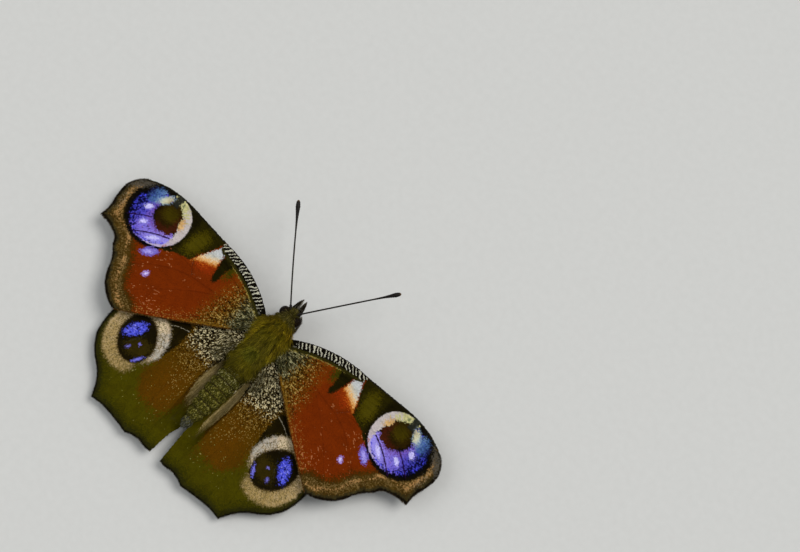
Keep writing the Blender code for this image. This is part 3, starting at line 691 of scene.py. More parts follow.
def shell_of(plan, tri, wing, side):
    """Upper and lower face of a membrane and the narrow wall between them."""
    upper = np.column_stack((side * plan[:, 0], plan[:, 1], wing.height(*plan.T) + MEMBRANE / 2))
    count = len(plan)
    edges = {(a, b) for f in tri.tolist() for a, b in zip(f, f[1:] + f[:1])}
    rim = sorted((a, b) for a, b in edges if (b, a) not in edges)
    walls = [f for a, b in rim for f in ((b, a, a + count), (b, a + count, b + count))]
    faces = np.concatenate((tri, tri[:, ::-1] + count, walls))
    return np.concatenate((upper, upper - (0, 0, MEMBRANE))), faces if side > 0 else faces[:, ::-1]


# Scaled chitin film: matt, and unevenly darker than the scales that it shows between
film = surface("wing_membrane_chitin_film", 2600.0, (0.55, 0.95), (0.45, 0.7), 0.05)
WINGS = (("forewing", forewing, fore_marks), ("hindwing", hindwing, hind_marks))
for kind, wing, marks_of in WINGS:
    plan, tri = membrane(wing)
    for tag, side in SIDES:
        points, faces = shell_of(plan, tri, wing, side)
        marks = marks_of(*plan.T, 100, False, side), under_marks(wing, *plan.T, 100, False)
        piece = mesh_piece("%s_membrane_%s" % (kind, tag), points, faces, np.concatenate(marks), film)
        dress(piece, kind + "_membrane", "%s_%s" % (kind, tag))


# Wing scales are flat plates of chitin a tenth of a millimetre wide, set in rows like roof tiles
# with their free ends towards the margin, and longer hair-like ones make the fringe at the edge.
FIRST_ROW = 1.6
# The turns between which a row runs, and how far a scale strays, as a part of its spacing
ROW_FROM, ROW_TO, STRAY = -math.pi * 0.62, math.pi * 0.22, 0.55
MAP_PATCH = 0.003


def rows(wing, row_step, side_step, seed):
    """Root places of the scales: rows round the hinge, each scale shifted a little."""
    found = []
    far = np.linalg.norm(wing.edge - wing.hub, axis=1).max()
    for i, radius in enumerate(np.arange(FIRST_ROW, far, row_step)):
        turn = np.arange(ROW_FROM, ROW_TO, side_step / radius)
        turn = turn + (i % 2) * 0.5 * side_step / radius
        found.append(wing.hub + radius * np.column_stack((np.cos(turn), np.sin(turn))))
    places = np.concatenate(found)
    shift = np.random.default_rng(seed).random(places.shape) - 0.5
    places += shift * (row_step * STRAY, side_step * STRAY)
    return places[within(*places.T, wing.edge)]


def ribbons(count, steps, corners):
    """Quads of many short ribbons, each a run of point pairs."""
    first = np.arange(count)[:, None] * (steps + 1) + np.arange(steps)
    return (first[..., None] * 2 + corners).reshape(-1, 4)


def bake_map(piece, places, local):
    """A small patch of the bake map for each scale or tuft, at its root's place on the skin."""
    mesh = piece.data
    layer = mesh.uv_layers.new(name="OFBake")
    loops = np.empty(len(mesh.loops), np.int32)
    mesh.loops.foreach_get("vertex_index", loops)
    uv = (places[:, None] + np.asarray(local) * MAP_PATCH).reshape(-1, 2)
    layer.data.foreach_set("uv", uv[loops].astype(np.float32).ravel())


# A plate's corners: how far along it and up, and how far across
PLATE = ((0.0, -0.30), (0.0, 0.30), (0.55, -0.5), (0.55, 0.5), (1.0, -0.30), (1.0, 0.30))
# Pigmented scales: velvet matt, with almost no shine
velvet = surface("wing_scales_velvet_chitin", 5200.0, (0.82, 1.18), 0.8, 0.015, 2.0)


def scale_coat(name, wing, places, long, wide, lift, tint, side, up, seed):
    """All the scales of one face of a wing as one mesh of small plates."""
    draw = np.random.default_rng(seed)
    count = len(places)
    z, normal = wing.slope(*places.T)
    flow = places - wing.hub
    turn = np.arctan2(flow[:, 1], flow[:, 0]) + draw.normal(0, 0.10, count)
    ahead = np.column_stack((np.cos(turn), np.sin(turn), np.zeros(count)))
    ahead = unit(ahead - normal * (ahead * normal).sum(1)[:, None])
    across = np.cross(normal, ahead)
    size = 1 + draw.normal(0, 0.10, (count, 1))
    base = np.column_stack((places, z)) + normal * (up * (MEMBRANE / 2 + 0.012))
    rise = lift * (0.7 + 0.6 * draw.random((count, 1)))
    corners = [base + ahead * (s * long * size) + across * (c * wide * size) + normal * (up * rise * s)
               for s, c in PLATE]
    points = np.stack(corners, 1).reshape(-1, 3) * (side, 1, 1)
    quads = ribbons(count, 2, (0, 2, 3, 1))
    # Each plate is painted darker at its root, as the shade under the plate before it, and lighter at its
    # free tip as painted light, on top of a random change of tone
    gain = (1 + draw.normal(0, 0.07, (count, 1))) * (0.78, 0.78, 1.0, 1.0, 1.1, 1.1)
    marks = (tint[:, None] * gain[..., None]).reshape(-1, 3)
    piece = mesh_piece(name, points, quads if side == up else quads[:, ::-1], marks, velvet)
    bake_map(piece, wing.on_map(places), [(s - 0.5, c) for s, c in PLATE])
    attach(piece, "root")


for kind, wing, marks_of in WINGS:
    top, low = rows(wing, 0.112, 0.086, 5), rows(wing, 0.17, 0.125, 6)
    for tag, side in SIDES:
        name = kind + "_scales_%s_" + tag
        tint = marks_of(*top.T, 200 + side * 50, True, side)
        scale_coat(name % "upper", wing, top, 0.20, 0.125, 0.030, tint, side, 1, 7 + side)
        tint = under_marks(wing, *low.T, 400 + side * 50, True)
        scale_coat(name % "under", wing, low, 0.29, 0.18, 0.035, tint, side, -1, 17 + side)


# The body is one soft skin over head, thorax and abdomen. Its lobes are blown up under the hair:
# the round head, the collar, the flight-muscle hump, two shoulder flaps and eight belly rings.
LOBES = (
    ((0, 2.25, 4.45), (1.20, 0.95, 1.12), 0),
    ((0, 2.95, 4.05), (0.80, 0.62, 0.85), 0),
    ((0, 1.15, 4.25), (1.74, 1.00, 1.12), 0),
    ((0, 0.35, 4.35), (1.85, 0.95, 1.30), 0),
    ((0, -2.75, 4.25), (2.62, 3.50, 1.70), 0),
    ((0, -5.60, 4.40), (2.05, 2.10, 1.30), 0),
    ((0, -7.60, 4.15), (1.95, 2.10, 1.40), 0),
    ((0, -3.60, 3.30), (1.80, 4.30, 1.10), 0),
    ((2.10, -1.30, 4.75), (0.70, 1.70, 0.55), 14),
    ((-2.10, -1.30, 4.75), (0.70, 1.70, 0.55), -14),
)
RINGS, RING_PITCH = 8, 1.42
VOXEL = 0.1


def lobe(place, half, turn):
    """One rounded swelling of the body, added at its size and place."""
    bpy.ops.mesh.primitive_uv_sphere_add(
        segments=40, ring_count=24, radius=MM, rotation=(0, 0, math.radians(turn)), scale=half,
        location=(place[0] * MM, (place[1] + AHEAD) * MM, place[2] * MM),
    )
    return bpy.context.active_object


bpy.ops.object.select_all(action="DESELECT")
lobes = [lobe(*row) for row in LOBES]
for i in range(RINGS):
    middle = -9.6 - RING_PITCH * i
    half = float(np.interp(-middle, (8.0, 10.0, 12.5, 15.0, 17.0, 18.6, 19.6, 20.2),
                           (1.80, 1.92, 1.98, 1.84, 1.52, 1.15, 0.78, 0.42)))
    lobes.append(lobe((0, middle, 4.05 - 0.035 * i), (half, 1.40, half * 0.84), 0))
for piece in lobes:
    piece.select_set(True)
bpy.context.view_layer.objects.active = lobes[0]
bpy.ops.object.join()
skin = bpy.context.active_object
skin.name = "body_skin"
bpy.ops.object.transform_apply(location=True, rotation=True, scale=True)
blow = skin.modifiers.new("one_skin", "REMESH")
blow.mode = "VOXEL"
blow.voxel_size = VOXEL * MM
bpy.ops.object.modifier_apply(modifier=blow.name)
settle = skin.modifiers.new("settled", "SMOOTH")
settle.factor = 0.5
settle.iterations = 5
bpy.ops.object.modifier_apply(modifier=settle.name)
bpy.ops.object.shade_smooth()
skin.data.materials.clear()
# Cuticle under the hair: dark brown, dull, pitted where each hair is rooted
skin.data.materials.append(
    surface("dark_cuticle_under_hair", 700.0, "#1a1505 #34290c", 0.7, 0.06, pits=(0.4, 0.00003, 9000.0))
)
dress(skin, "furred_body", "head", "thorax", "abdomen")


# Fine hair-like scales clothe the whole body. They are long and silky on the thorax, where they lie
# backwards over the wing roots, short and flat on the abdomen, and bristly on the head.
ROOT_DEPTH = 0.04
# Silky scale-hairs: pigmented, with a low soft shine
silk = surface("silky_scale_hair", 4200.0, (0.75, 1.25), 0.55, 0.06, 2.0)


def scatter(piece, density, seed):
    """Root points and normals over a surface, in millimetres, so many to each square millimetre."""

    def read(items, key, kind):
        """One value of three numbers from each item of a mesh."""
        found = np.empty(len(items) * 3, kind)
        items.foreach_get(key, found)
        return found.reshape(-1, 3)

    mesh = piece.data
    mesh.calc_loop_triangles()
    tri = read(mesh.loop_triangles, "vertices", np.int32)
    points = read(mesh.vertices, "co", np.float32) / MM - (0, AHEAD, 0)
    normals = read(mesh.vertices, "normal", np.float32)
    a, b, c = (points[tri[:, k]] for k in range(3))
    want = np.linalg.norm(np.cross(b - a, c - a), axis=1) / 2 * density(*((a + b + c) / 3).T)
    draw = np.random.default_rng(seed)
    count = int(want.sum())
    first = np.searchsorted(want.cumsum(), np.arange(count) + draw.random(count))
    first = np.minimum(first, len(tri) - 1)
    u, v = draw.random((2, count, 1))
    flip = (u + v) > 1
    u, v = np.where(flip, 1 - u, u), np.where(flip, 1 - v, v)
    root = a[first] + (b - a)[first] * u + (c - a)[first] * v
    p, q, r = (normals[tri[first, k]] for k in range(3))
    return root, unit(p * (1 - u - v) + q * u + r * v)


def round_body(root):
    """A hair's place on the unwrapped skin: round the body by its angle, and along it."""
    turn = np.arctan2(root[:, 0], root[:, 2] - 4.1) / (2 * math.pi) + 0.5
    return np.column_stack((turn * 0.96 + 0.02, (root[:, 1] + 21.0) / 27.0))


def tufts(name, root, normal, flow, long, wide, lift, tint, seed,
          bends=3, slot="furred_body", paint=silk, place=None):
    """Tapered blades that leave the skin and lie down along the flow, as one mesh."""
    draw = np.random.default_rng(seed)
    count = len(root)
    flow = flow + draw.normal(0, 0.16, (count, 3))
    flow = unit(flow - normal * (flow * normal).sum(1)[:, None], 1e-9)
    roll = draw.normal(0, 0.5, (count, 1))
    across = np.cross(normal, flow) * np.cos(roll) + normal * np.sin(roll)
    long, wide = (
        np.broadcast_to(size, count)[:, None] * (1 + draw.normal(0, spread, (count, 1)))
        for size, spread in ((long, 0.16), (wide, 0.12))
    )
    lift = np.broadcast_to(lift, count)[:, None] * (0.65 + 0.7 * draw.random((count, 1)))
    at = root - normal * ROOT_DEPTH
    steps = np.linspace(0, 1, bends + 1)
    corners = []
    for k, shape in enumerate(np.interp(steps, (0, 0.35, 0.75, 1), (0.6, 1.0, 0.75, 0.12))):
        half = across * (wide * shape / 2)
        corners += [at - half, at + half]
        angle = lift * (1 - 0.75 * k / bends)
        at = at + (flow * np.cos(angle) + normal * np.sin(angle)) * (long / bends)
    points = np.stack(corners, 1).reshape(-1, 3)
    points[:, 2] = np.maximum(points[:, 2], 0.0)
    # Each blade is painted darker at its root and lighter at its tip: painted shade deep in the coat and
    # painted light on the tips
    gain = np.linspace(0.55, 1.2, bends + 1).repeat(2)
    marks = (tint[:, None] * gain[:, None]).reshape(-1, 3)
    piece = mesh_piece(name, points, ribbons(count, bends, (0, 1, 3, 2)), marks, paint)
    local = np.column_stack(((steps - 0.5).repeat(2), np.tile((-0.5, 0.5), bends + 1)))
    bake_map(piece, round_body(root) if place is None else place, local)
    dress(piece, slot)


def tones(count, seed, weights, codes):
    """A colour for each of many hairs, drawn from a few by their weights."""
    draw = np.random.default_rng(seed)
    pick = draw.choice(len(weights), count, p=np.array(weights) / sum(weights))
    return np.array([dye(code) for code in codes.split()])[pick] * (1 + draw.normal(0, 0.10, (count, 1)))


def backwards(x, splay, rise=0.0):
    """The lie of hair that runs to the rear and a little outwards."""
    return np.column_stack((x * splay, np.full(len(x), -1.0), np.full(len(x), rise)))


def thorax_roots(x, y, z):
    """Thinner in the slit where the wings are hinged."""
    hidden = (np.abs(x) > 1.9) & (np.abs(z - 4.55) < 0.35) & (y > -6.5)
    return ease((1.5 - y) / 0.5) * ease((y + 10.6) / 2.6) * np.where(hidden, 0.4, 1.0)


root, normal = scatter(skin, lambda x, y, z: thorax_roots(x, y, z) * (z >= 3.9) * 190, 61)
x, y, z = root.T
out = np.abs(x)
collar, rear = ease((y + 0.2) / 0.8), ease((-y - 7.4) / 2.4)
# Two crests run back from the collar, each with a furrow on its inner side
flap = np.interp(-y, (-0.6, 0.6, 2.2, 4.4, 6.0), (0.9, 1.3, 1.62, 1.9, 1.6))
beside = ease((0.9 - y) / 0.8) * ease((y + 6.0) / 1.2)
crest = beside * stripe(out, flap, 0.10, 0.12)
furrow = beside * stripe(out, flap - 0.28, 0.12, 0.15)
shield = oval(x, y, (0, -5.4), (0.95, 1.15), 0)
warm = ease((y + 2.2) / 2.6) * patchy(x, y, 0.9, 69)
warm = warm + 0.8 * stripe(out, 1.9, 0.3, 0.8) * ease((y + 5.0) / 2.0)
long = 1.15 + 0.40 * patchy(x, y, 0.8, 62) + 0.25 * ease((-y - 5.0) / 1.5) - 0.35 * collar - 0.65 * rear
tint = tones(len(root), 63, (3, 4, 3, 1.4), "#3a3403 #4c4404 #5e540a #786a1a")
for gain in (
    0.70 + 0.84 * patchy(x * 1.4, y * 0.5, 0.45, 64),
    1 - 0.30 * rear,
    # Painted shade: hair low on the flanks, under the wing roots, is darker
    1 - 0.5 * ease((4.6 - z) / 0.6),
    # Painted light and shade: the crests are lighter and the furrows beside them darker
    1 + 0.95 * crest - 0.5 * furrow,
    1 + 0.8 * stripe(shield, 0, 0.08, 0.1),
):
    tint = tint * gain[:, None]
tint = tint * (1 + np.outer(warm, (0.32, 0.14, -0.1)))
tint = tint * (1 + np.outer(share(shield, 0.5), (-0.14, 0.0, 0.25)))
tufts("thorax_hair_upper", root, normal, backwards(x, 0.16), long - 0.45 * furrow, 0.055,
      0.62 - 0.3 * rear + 0.28 * crest, tint, 65)

root, normal = scatter(skin, lambda x, y, z: thorax_roots(x, y, z) * (z < 3.9) * 95, 66)
tint = tones(len(root), 67, (4, 3, 1), "#1c1710 #2c251a #4a4032")
tufts("thorax_hair_under", root, normal, backwards(root[:, 0], 0.1, 0.15), 0.75, 0.06, 0.5, tint, 68)


# Each belly ring wears flat scales that lie to the rear, dusted with gold, and short hair between
# them. The tip of the abdomen ends in a grey tuft. All of it is rooted in the skin.
root, normal = scatter(skin, lambda x, y, z: ease((-8.6 - y) / 0.6) * 210.0, 71)
x, y, z = root.T
grain = patchy(x * 1.1, y, 0.11, 72)
above = ease((z - 3.3) / 0.8)
tint = tones(len(root), 73, (5, 3, 1), "#302d05 #464208 #605913")
gold = tones(len(root), 74, (3, 1), "#847c34 #aaa25e")
tint = np.where(((grain > 0.655) & (above > 0.4))[:, None], gold, tint)
tint = tint * (1 + np.outer(ease((y + 13.5) / 3.0), (0.15, 0.18, 0.9)))
tint = tint + (tones(len(root), 75, (2, 1), "#2a241a #51483a") - tint) * (1 - above)[:, None]
seam = np.abs(((-y - 10.31) / RING_PITCH) % 1.0 - 0.5)
tint = tint * (1 - 0.45 * ease((seam - 0.36) / 0.1))[:, None]
tufts("abdomen_scales", root, normal, (0.0, -1.0, 0.0), 0.36, 0.10, 0.30, tint, 76, bends=2)

root, normal = scatter(skin, lambda x, y, z: ease((-8.4 - y) / 0.6) * (22 + 60 * ease((-18.6 - y) / 0.8)), 77)
tail = ease((-18.9 - root[:, 1]) / 0.7)[:, None]
tint = tones(len(root), 78, (3, 2), "#343206 #56501a") * (1 - tail)
tint = tint + tones(len(root), 79, (3, 2, 1), "#343428 #4c4c42 #74746a") * tail
tufts("abdomen_hair", root, normal, backwards(root[:, 0], 0.12), 0.62, 0.045, 0.45, tint, 80)


# The head is bristly between the eyes, with a forward brush on the face and a ruff behind. The
# bristles are rooted in the skin, and none grow where an eye covers it.
def head_roots(x, y, z):
    """Thick all over the head, and none where an eye covers it."""
    under_eye = (np.abs(x) > 0.98) & (np.abs(y - 2.30) < 0.75)
    return ease((y - 1.0) / 0.4) * np.where(under_eye, 0.0, 360.0)


root, normal = scatter(skin, head_roots, 81)
x, y, z = root.T
front = ease(y - 1.9)
rim_of_eye = ease((np.abs(x) - 0.5) / 0.4) * ease((0.9 - np.abs(y - 2.3)) / 0.4)
flow = np.column_stack((x * (0.25 + 1.2 * rim_of_eye), -1 + 2.1 * front, 0.45 * front + 0.1))
tint = tones(len(root), 82, (4, 3, 2, 1), "#322d0b #4c4411 #645a1e #887c46")
# The hair is painted darker low on the head, as shade beneath it, and is darker on the face
tint = tint * ((1 - 0.35 * ease((3.9 - z) / 0.5)) * (1 - 0.28 * front))[:, None]
tufts("head_hair", root, normal, flow, 0.52 + 0.26 * ease((z - 4.6) / 0.6), 0.045, 0.75, tint, 83)


# The eyes are compound: each is a dome of small horny lenses, set into the side of the head,
# with a scatter of fine hair.
EYE_MIDDLE, EYE_HALF = (1.14, 2.28, 4.42), (0.88, 0.92, 1.02)
LENS_RISE = 1.007
# Lens surface: nearly black with a brown depth, a soft gloss over the small domes
cornea = surface("dark_compound_lens", 1500.0, "#060302 #1a0f06", 0.28, 0.05, 2.0)


def compound_eye(tag, side):
    """A lens over each corner of a fine ball, its rim on the middles of the faces around it."""
    bpy.ops.object.select_all(action="DESELECT")
    bpy.ops.mesh.primitive_ico_sphere_add(subdivisions=5, radius=1.0)
    ball = bpy.context.active_object
    shape = bmesh.new()
    shape.from_mesh(ball.data)
    rims = [f.calc_center_median().normalized() for f in shape.faces]
    domes, faces = [], []
    for vert in shape.verts:
        axis = vert.co.normalized()
        near = [f.index for f in vert.link_faces]
        first = (rims[near[0]] - axis).normalized()
        second = axis.cross(first)
        near.sort(key=lambda i: math.atan2((rims[i] - axis).dot(second), (rims[i] - axis).dot(first)))
        faces += [(len(rims) + len(domes), a, b) for a, b in zip(near, near[1:] + near[:1])]
        domes.append(axis * LENS_RISE)
    shape.free()
    bpy.data.objects.remove(ball)
    points = np.array([tuple(v) for v in rims + domes]) * EYE_HALF + np.array(EYE_MIDDLE) * (side, 1, 1)
    piece = mesh_piece("compound_eye_" + tag, points, faces, None, cornea, smooth=False)
    dress(piece, "eye", "eye_" + tag)
    root, normal = scatter(piece, lambda x, y, z: 22.0 * (np.abs(x) > 1.05), 91)
    place = np.column_stack((root[:, 1] / 4 - 0.2, root[:, 2] / 6))
    tufts("eye_hair_" + tag, root, normal, (0.0, -1.0, -0.3), 0.20, 0.018, 1.2,
          tones(len(root), 92, (1, 1), "#2c2210 #4a3e20"), 93, bends=2, slot="eye", place=place)


for tag, side in SIDES:
    compound_eye(tag, side)


# Feelers, palps and tongue are tubes of hardened cuticle. The feelers are ringed and end in clubs,
# the palps are clothed in hair, and the tongue is rolled up under the face.
def through(knots, per):
    """A smooth run of points through some knots."""
    ends = np.concatenate((2 * knots[:1] - knots[1:2], knots, 2 * knots[-1:] - knots[-2:-1]))
    t = np.linspace(0, 1, per, endpoint=False)[:, None]
    runs = []
    for a, b, c, d in zip(ends, ends[1:], ends[2:], ends[3:]):
        bent, swung = 2 * a - 5 * b + 4 * c - d, 3 * b - a - 3 * c + d
        runs.append(0.5 * (2 * b + (c - a) * t + bent * t**2 + swung * t**3))
    return np.concatenate(runs + [knots[-1:]])


def tube(path, radii, sides, flat=1.0):
    """A closed tube along a path with a radius at each point, rounded off at both ends."""
    along = unit(np.gradient(path, axis=0))
    across = np.empty_like(path)
    held = np.cross(along[0], (0, 0, 1))
    for i, way in enumerate(along):
        held = unit(held - way * (held @ way))
        across[i] = held
    over = np.cross(across, along)
    turn = np.arange(sides)[:, None] * 2 * math.pi / sides
    ring = across[:, None] * np.cos(turn) + over[:, None] * np.sin(turn) * flat
    caps = [path[0] - along[0] * radii[0] * 0.6, path[-1] + along[-1] * radii[-1] * 0.6]
    points = np.concatenate(((path[:, None] + ring * radii[:, None, None]).reshape(-1, 3), caps))
    last, end = (len(path) - 1) * sides, len(path) * sides
    round_it = [(j, (j + 1) % sides) for j in range(sides)]
    faces = [(i + j, i + sides + j, i + sides + k, i + k) for i in range(0, last, sides) for j, k in round_it]
    faces += [(end, j, k) for j, k in round_it]
    return points, faces + [(end + 1, last + k, last + j) for j, k in round_it]


FEELERS = {
    "left": ((-0.62, 2.95, 5.30), (-5.40, 8.28, 6.60), (-11.38, 15.78, 7.35)),
    "right": ((0.62, 2.95, 5.30), (5.43, 9.65, 6.60), (10.02, 16.04, 7.35)),
}
FEELER_RINGS, FEELER_SIDES = 46, 12
FEELER_THICK, CLUB_THICK = 0.125, 0.38
# Hard scaled cuticle: its colour from the rings, fine pits, a low shine
horn = surface("dark_feeler_cuticle", 6000.0, (0.6, 1.4), 0.45, 0.16, pits=(0.5, 0.00002))
for tag, knots in FEELERS.items():
    path = curve(*np.array(knots), FEELER_RINGS * 4)
    t = np.linspace(0, 1, len(path))
    beat = (t * FEELER_RINGS) % 1.0
    thick = np.interp(t, (0, 0.03, 0.06, 0.74, 0.84, 0.90, 0.95, 0.985, 1),
                      (0.20, 0.22, 1, 1, 1.45, 2.2, CLUB_THICK / FEELER_THICK, 2.5, 1.3))
    thick = np.where(t < 0.05, 1.7, thick)
    radii = FEELER_THICK * thick * (1 - 0.10 * (beat < 0.2) * (t > 0.05))
    points, faces = tube(path, radii, FEELER_SIDES)
    pale = ((beat > 0.55) & (t < 0.80) & (t > 0.06)).repeat(FEELER_SIDES)
    below = np.tile(np.sin(np.arange(FEELER_SIDES) * 2 * math.pi / FEELER_SIDES) < 0.2, len(t))
    colour = np.tile(dye("#110c07"), (len(points), 1))
    colour[:-2][pale & below] = dye("#8f8672")
    colour[:-2][pale & ~below] = dye("#2a2218")
    tip = ease((t.repeat(FEELER_SIDES) - 0.985) / 0.015)[:, None]
    colour[:-2] = colour[:-2] + (dye("#5c4426") - colour[:-2]) * tip
    colour[-1] = dye("#7a5c34")
    dress(mesh_piece("antenna_rings_" + tag, points, faces, colour, horn), "dark_horn", "antenna_" + tag)

PALP = ((0.42, 2.75, 3.70), (0.46, 3.50, 3.85), (0.43, 4.25, 4.18), (0.36, 4.95, 4.48), (0.30, 5.35, 4.62))
for tag, side in SIDES:
    path = through(np.array(PALP) * (side, 1, 1), 8)
    radii = np.interp(np.linspace(0, 1, len(path)), (0, 0.2, 0.45, 0.7, 0.9, 1),
                      (0.40, 0.42, 0.35, 0.24, 0.13, 0.06))
    piece = mesh_piece("palp_core_" + tag, *tube(path, radii, 16, 1.25), dye("#231d12"), horn)
    dress(piece, "furred_body", "palp_" + tag)
    root, normal = scatter(piece, lambda x, y, z: np.full(len(x), 420.0), 101)
    inner = (side * normal[:, 0] < -0.66)[:, None]
    tint = tones(len(root), 102, (4, 2, 1), "#110e06 #211b0c #3c3218")
    pale = tones(len(root), 103, (2, 1), "#8c8674 #b4b0a0")
    tint = np.where(inner | (np.random.default_rng(104).random((len(root), 1)) < 0.05), pale, tint)
    place = np.column_stack((root[:, 1] / 8, 0.5 + 0.1 * normal[:, 2]))
    tufts("palp_hair_" + tag, root, normal, (0.0, 1.0, 0.30), 0.34, 0.038, 0.5, tint, 105,
          bends=2, place=place)

t = np.linspace(0, 1, 130)
turn = math.radians(100) - t * math.radians(1120)
reach = 0.62 * (1 - t) ** 0.8 + 0.27
path = np.column_stack((0.02 * np.sin(turn), 3.66 + reach * np.cos(turn), 3.02 + reach * np.sin(turn)))
points, faces = tube(path, np.interp(t, (0, 0.8, 1), (0.14, 0.075, 0.04)) * (1 + 0.05 * np.sin(t * 420)), 10)
# Thin tongue cuticle: amber brown with fine pits, a little glossier than the feelers
lips = surface("amber_tongue_cuticle", 5000.0, (0.6, 1.4), 0.35, 0.16, pits=(0.5, 0.00002))
dress(mesh_piece("coiled_tongue", points, faces, dye("#2e1d0c"), lips), "dark_horn", "proboscis")


# Four legs carry the insect and the short front pair is folded against the face as a brush. Each
# has a thick thigh, a spined shin, a five-part foot and two claws, all clothed in brown-grey scales.
LEGS = {
    "foreleg": ((1.10, -1.00, 2.90), (1.45, -0.25, 1.75), (1.80, 1.55, 2.25), (1.55, 2.85, 2.75),
                (1.10, 3.55, 2.60)),
    "midleg": ((1.20, -3.80, 2.90), (1.95, -3.65, 1.45), (4.90, -2.40, 2.85), (8.30, -0.90, 0.42),
               (11.0, 0.60, 0.13)),
    "hindleg": ((1.20, -6.80, 2.90), (1.85, -7.40, 1.45), (4.70, -10.0, 2.35), (7.80, -13.6, 0.42),
                (9.60, -16.6, 0.13)),
}
# Scaled leg cuticle: brown, fine pits, a low shine
shin_cuticle = surface("scaled_leg_cuticle", 7000.0, (0.6, 1.4), 0.5, 0.16, pits=(0.5, 0.00002))


def leg(folded, side, knots):
    """Thigh, shin, foot and claws as closed tubes in one mesh, and the way the foot points."""
    coxa, hip, knee, ankle, foot = np.array(knots) * (side, 1, 1)
    parts = []

    def limb(a, b, radii, sag=0.0, sides=12):
        """One straight or slightly arched link between two joints."""
        t = np.linspace(0, 1, 15)
        path = a + (b - a) * t[:, None] + np.outer(sag * 4 * t * (1 - t), (0, 0, 1))
        parts.append(tube(path, np.interp(t, np.linspace(0, 1, len(radii)), radii), sides))

    slim = 0.8 if folded else 1.0
    limb(coxa, hip, (0.42, 0.46, 0.40, 0.26))
    limb(hip, knee, np.array((0.20, 0.30, 0.31, 0.27, 0.20, 0.17)) * slim, 0.10)
    limb(knee, ankle, np.array((0.17, 0.16, 0.17, 0.17, 0.16, 0.17)) * slim, 0.02)
    toes, toe = (1, (0.14, 0.17, 0.15, 0.10, 0.05)) if folded else (5, (0.09, 0.12, 0.125, 0.125, 0.10))
    joints = np.interp(np.linspace(0, 1, toes + 1), (0, 0.45, 1), (0, 0.5, 1))
    for start, end in zip(joints, joints[1:]):
        limb(ankle + (foot - ankle) * start, ankle + (foot - ankle) * end, toe, sides=10)
    way = unit(foot - ankle)
    t = np.linspace(0, 1, 8)[:, None]
    for hand in () if folded else (-1, 1):
        out = np.array((-way[1], way[0], 0)) * hand
        claw = foot + way * (0.34 * t) + out * (0.05 + 0.14 * t)
        claw = claw + np.array((0, 0, 1)) * (0.05 + 0.06 * np.sin(t * math.pi) - 0.16 * t**2)
        parts.append(tube(claw, np.linspace(0.045, 0.012, 8), 8))
        spur = ankle + (knee - ankle) * 0.03 + (way * 0.45 + out * 0.16 + np.array((0, 0, -0.04))) * t
        parts.append(tube(spur, np.linspace(0.035, 0.010, 8), 8))
    starts = np.cumsum([0] + [len(points) for points, _ in parts])
    faces = [tuple(i + start for i in f) for start, (_, part) in zip(starts, parts) for f in part]
    points = np.concatenate([points for points, _ in parts])
    points[:, 2] = np.maximum(points[:, 2], 0.0)
    return points, faces, way


for name, knots in LEGS.items():
    brush = name == "foreleg"
    for tag, side in SIDES:
        points, faces, way = leg(brush, side, knots)
        blotch = patchy(points[:, 0] * 2, points[:, 1] * 2, 0.5, 111)[:, None]
        tone = dye("#2c2114") + (dye("#4d4030") - dye("#2c2114")) * blotch
        piece = mesh_piece("%s_cuticle_%s" % (name, tag), points, faces, tone, shin_cuticle)
        dress(piece, "leg_chitin", "%s_%s" % (name, tag))
        root, normal = scatter(piece, lambda x, y, z: 60.0 + (140.0 if brush else 60.0) * (z > 0.3), 112)
        clear = root[:, 2] > 0.10
        root, normal = root[clear], normal[clear]
        tint = tones(len(root), 113, (3, 2, 1), "#2a2114 #463a28 #7a6c54")
        place = np.column_stack((root[:, 0] / 30 + 0.5, root[:, 1] / 50 + 0.5))
        length = 0.42 if brush else np.where(root[:, 2] > 1.2, 0.34, 0.20)
        tufts("%s_hair_%s" % (name, tag), root, normal, way * (1, 1, 0.2), length, 0.045, 0.5, tint, 114,
              bends=2, slot="leg_chitin", place=place)


# Long soft hair covers the wing roots, and a fringe of narrow
# scales closes every outer margin.
def wing_hair(name, wing, side, places, rise, flow, long, wide, lift, tint, seed, **more):
    """Tufts at places in plan on a wing, so far over its middle, lying along the flow."""
    z, normal = wing.slope(*places.T)
    turned = np.array((side, 1, 1))
    root = np.column_stack((places, z + rise)) * turned
    flow = np.column_stack((flow, np.zeros(len(flow)))) * turned
    tufts(name, root, normal * turned, flow, long, wide, lift, tint, seed, place=wing.on_map(places), **more)


def root_hair(name, wing, side, last, low, high, count, codes, seed):
    """Hair that thins out from the hinge, behind the front edge of the wing."""
    draw = np.random.default_rng(seed)
    places = low + np.subtract(high, low) * draw.random((count, 2))
    clear = away_from(*places.T, wing.rim("root", last)) > 1.5
    places = places[clear & within(*places.T, wing.edge)]
    fade = ease((high[0] - places[:, 0]) / (high[0] - low[0]) * 1.6)
    places = places[draw.random(len(places)) < fade]
    tint = tones(len(places), seed + 1, (3, 3, 1), codes)
    long = 1.3 - 0.5 * (places[:, 0] - low[0]) / (high[0] - low[0])
    flow = unit(places - wing.hub)
    wing_hair(name, wing, side, places, MEMBRANE / 2, flow, long, 0.045, 0.22, tint, seed + 2)


def fringe(name, wing, side, first, last, long, codes, seed):
    """Three layers of narrow scales that stand out from the edge."""
    draw = np.random.default_rng(seed)
    rim = wing.rim(first, last)
    run = np.concatenate(([0], np.linalg.norm(np.diff(rim, axis=0), axis=1).cumsum()))
    at = np.repeat(np.arange(0, run[-1], 0.055), 3)
    at = np.clip(at + draw.normal(0, 0.02, len(at)), 0, run[-1])
    places, way = (np.column_stack([np.interp(at, run, column) for column in line.T])
                   for line in (rim, np.gradient(rim, axis=0)))
    outward = sideways(way)
    tint = tones(len(at), seed + 1, (4, 2, 1), codes)
    layer = np.tile((-1, 0, 1), len(at) // 3) * 0.02
    wing_hair(name, wing, side, places - outward * 0.06, layer, outward, long, 0.065, 0.05, tint, seed + 2,
              bends=2, paint=velvet)


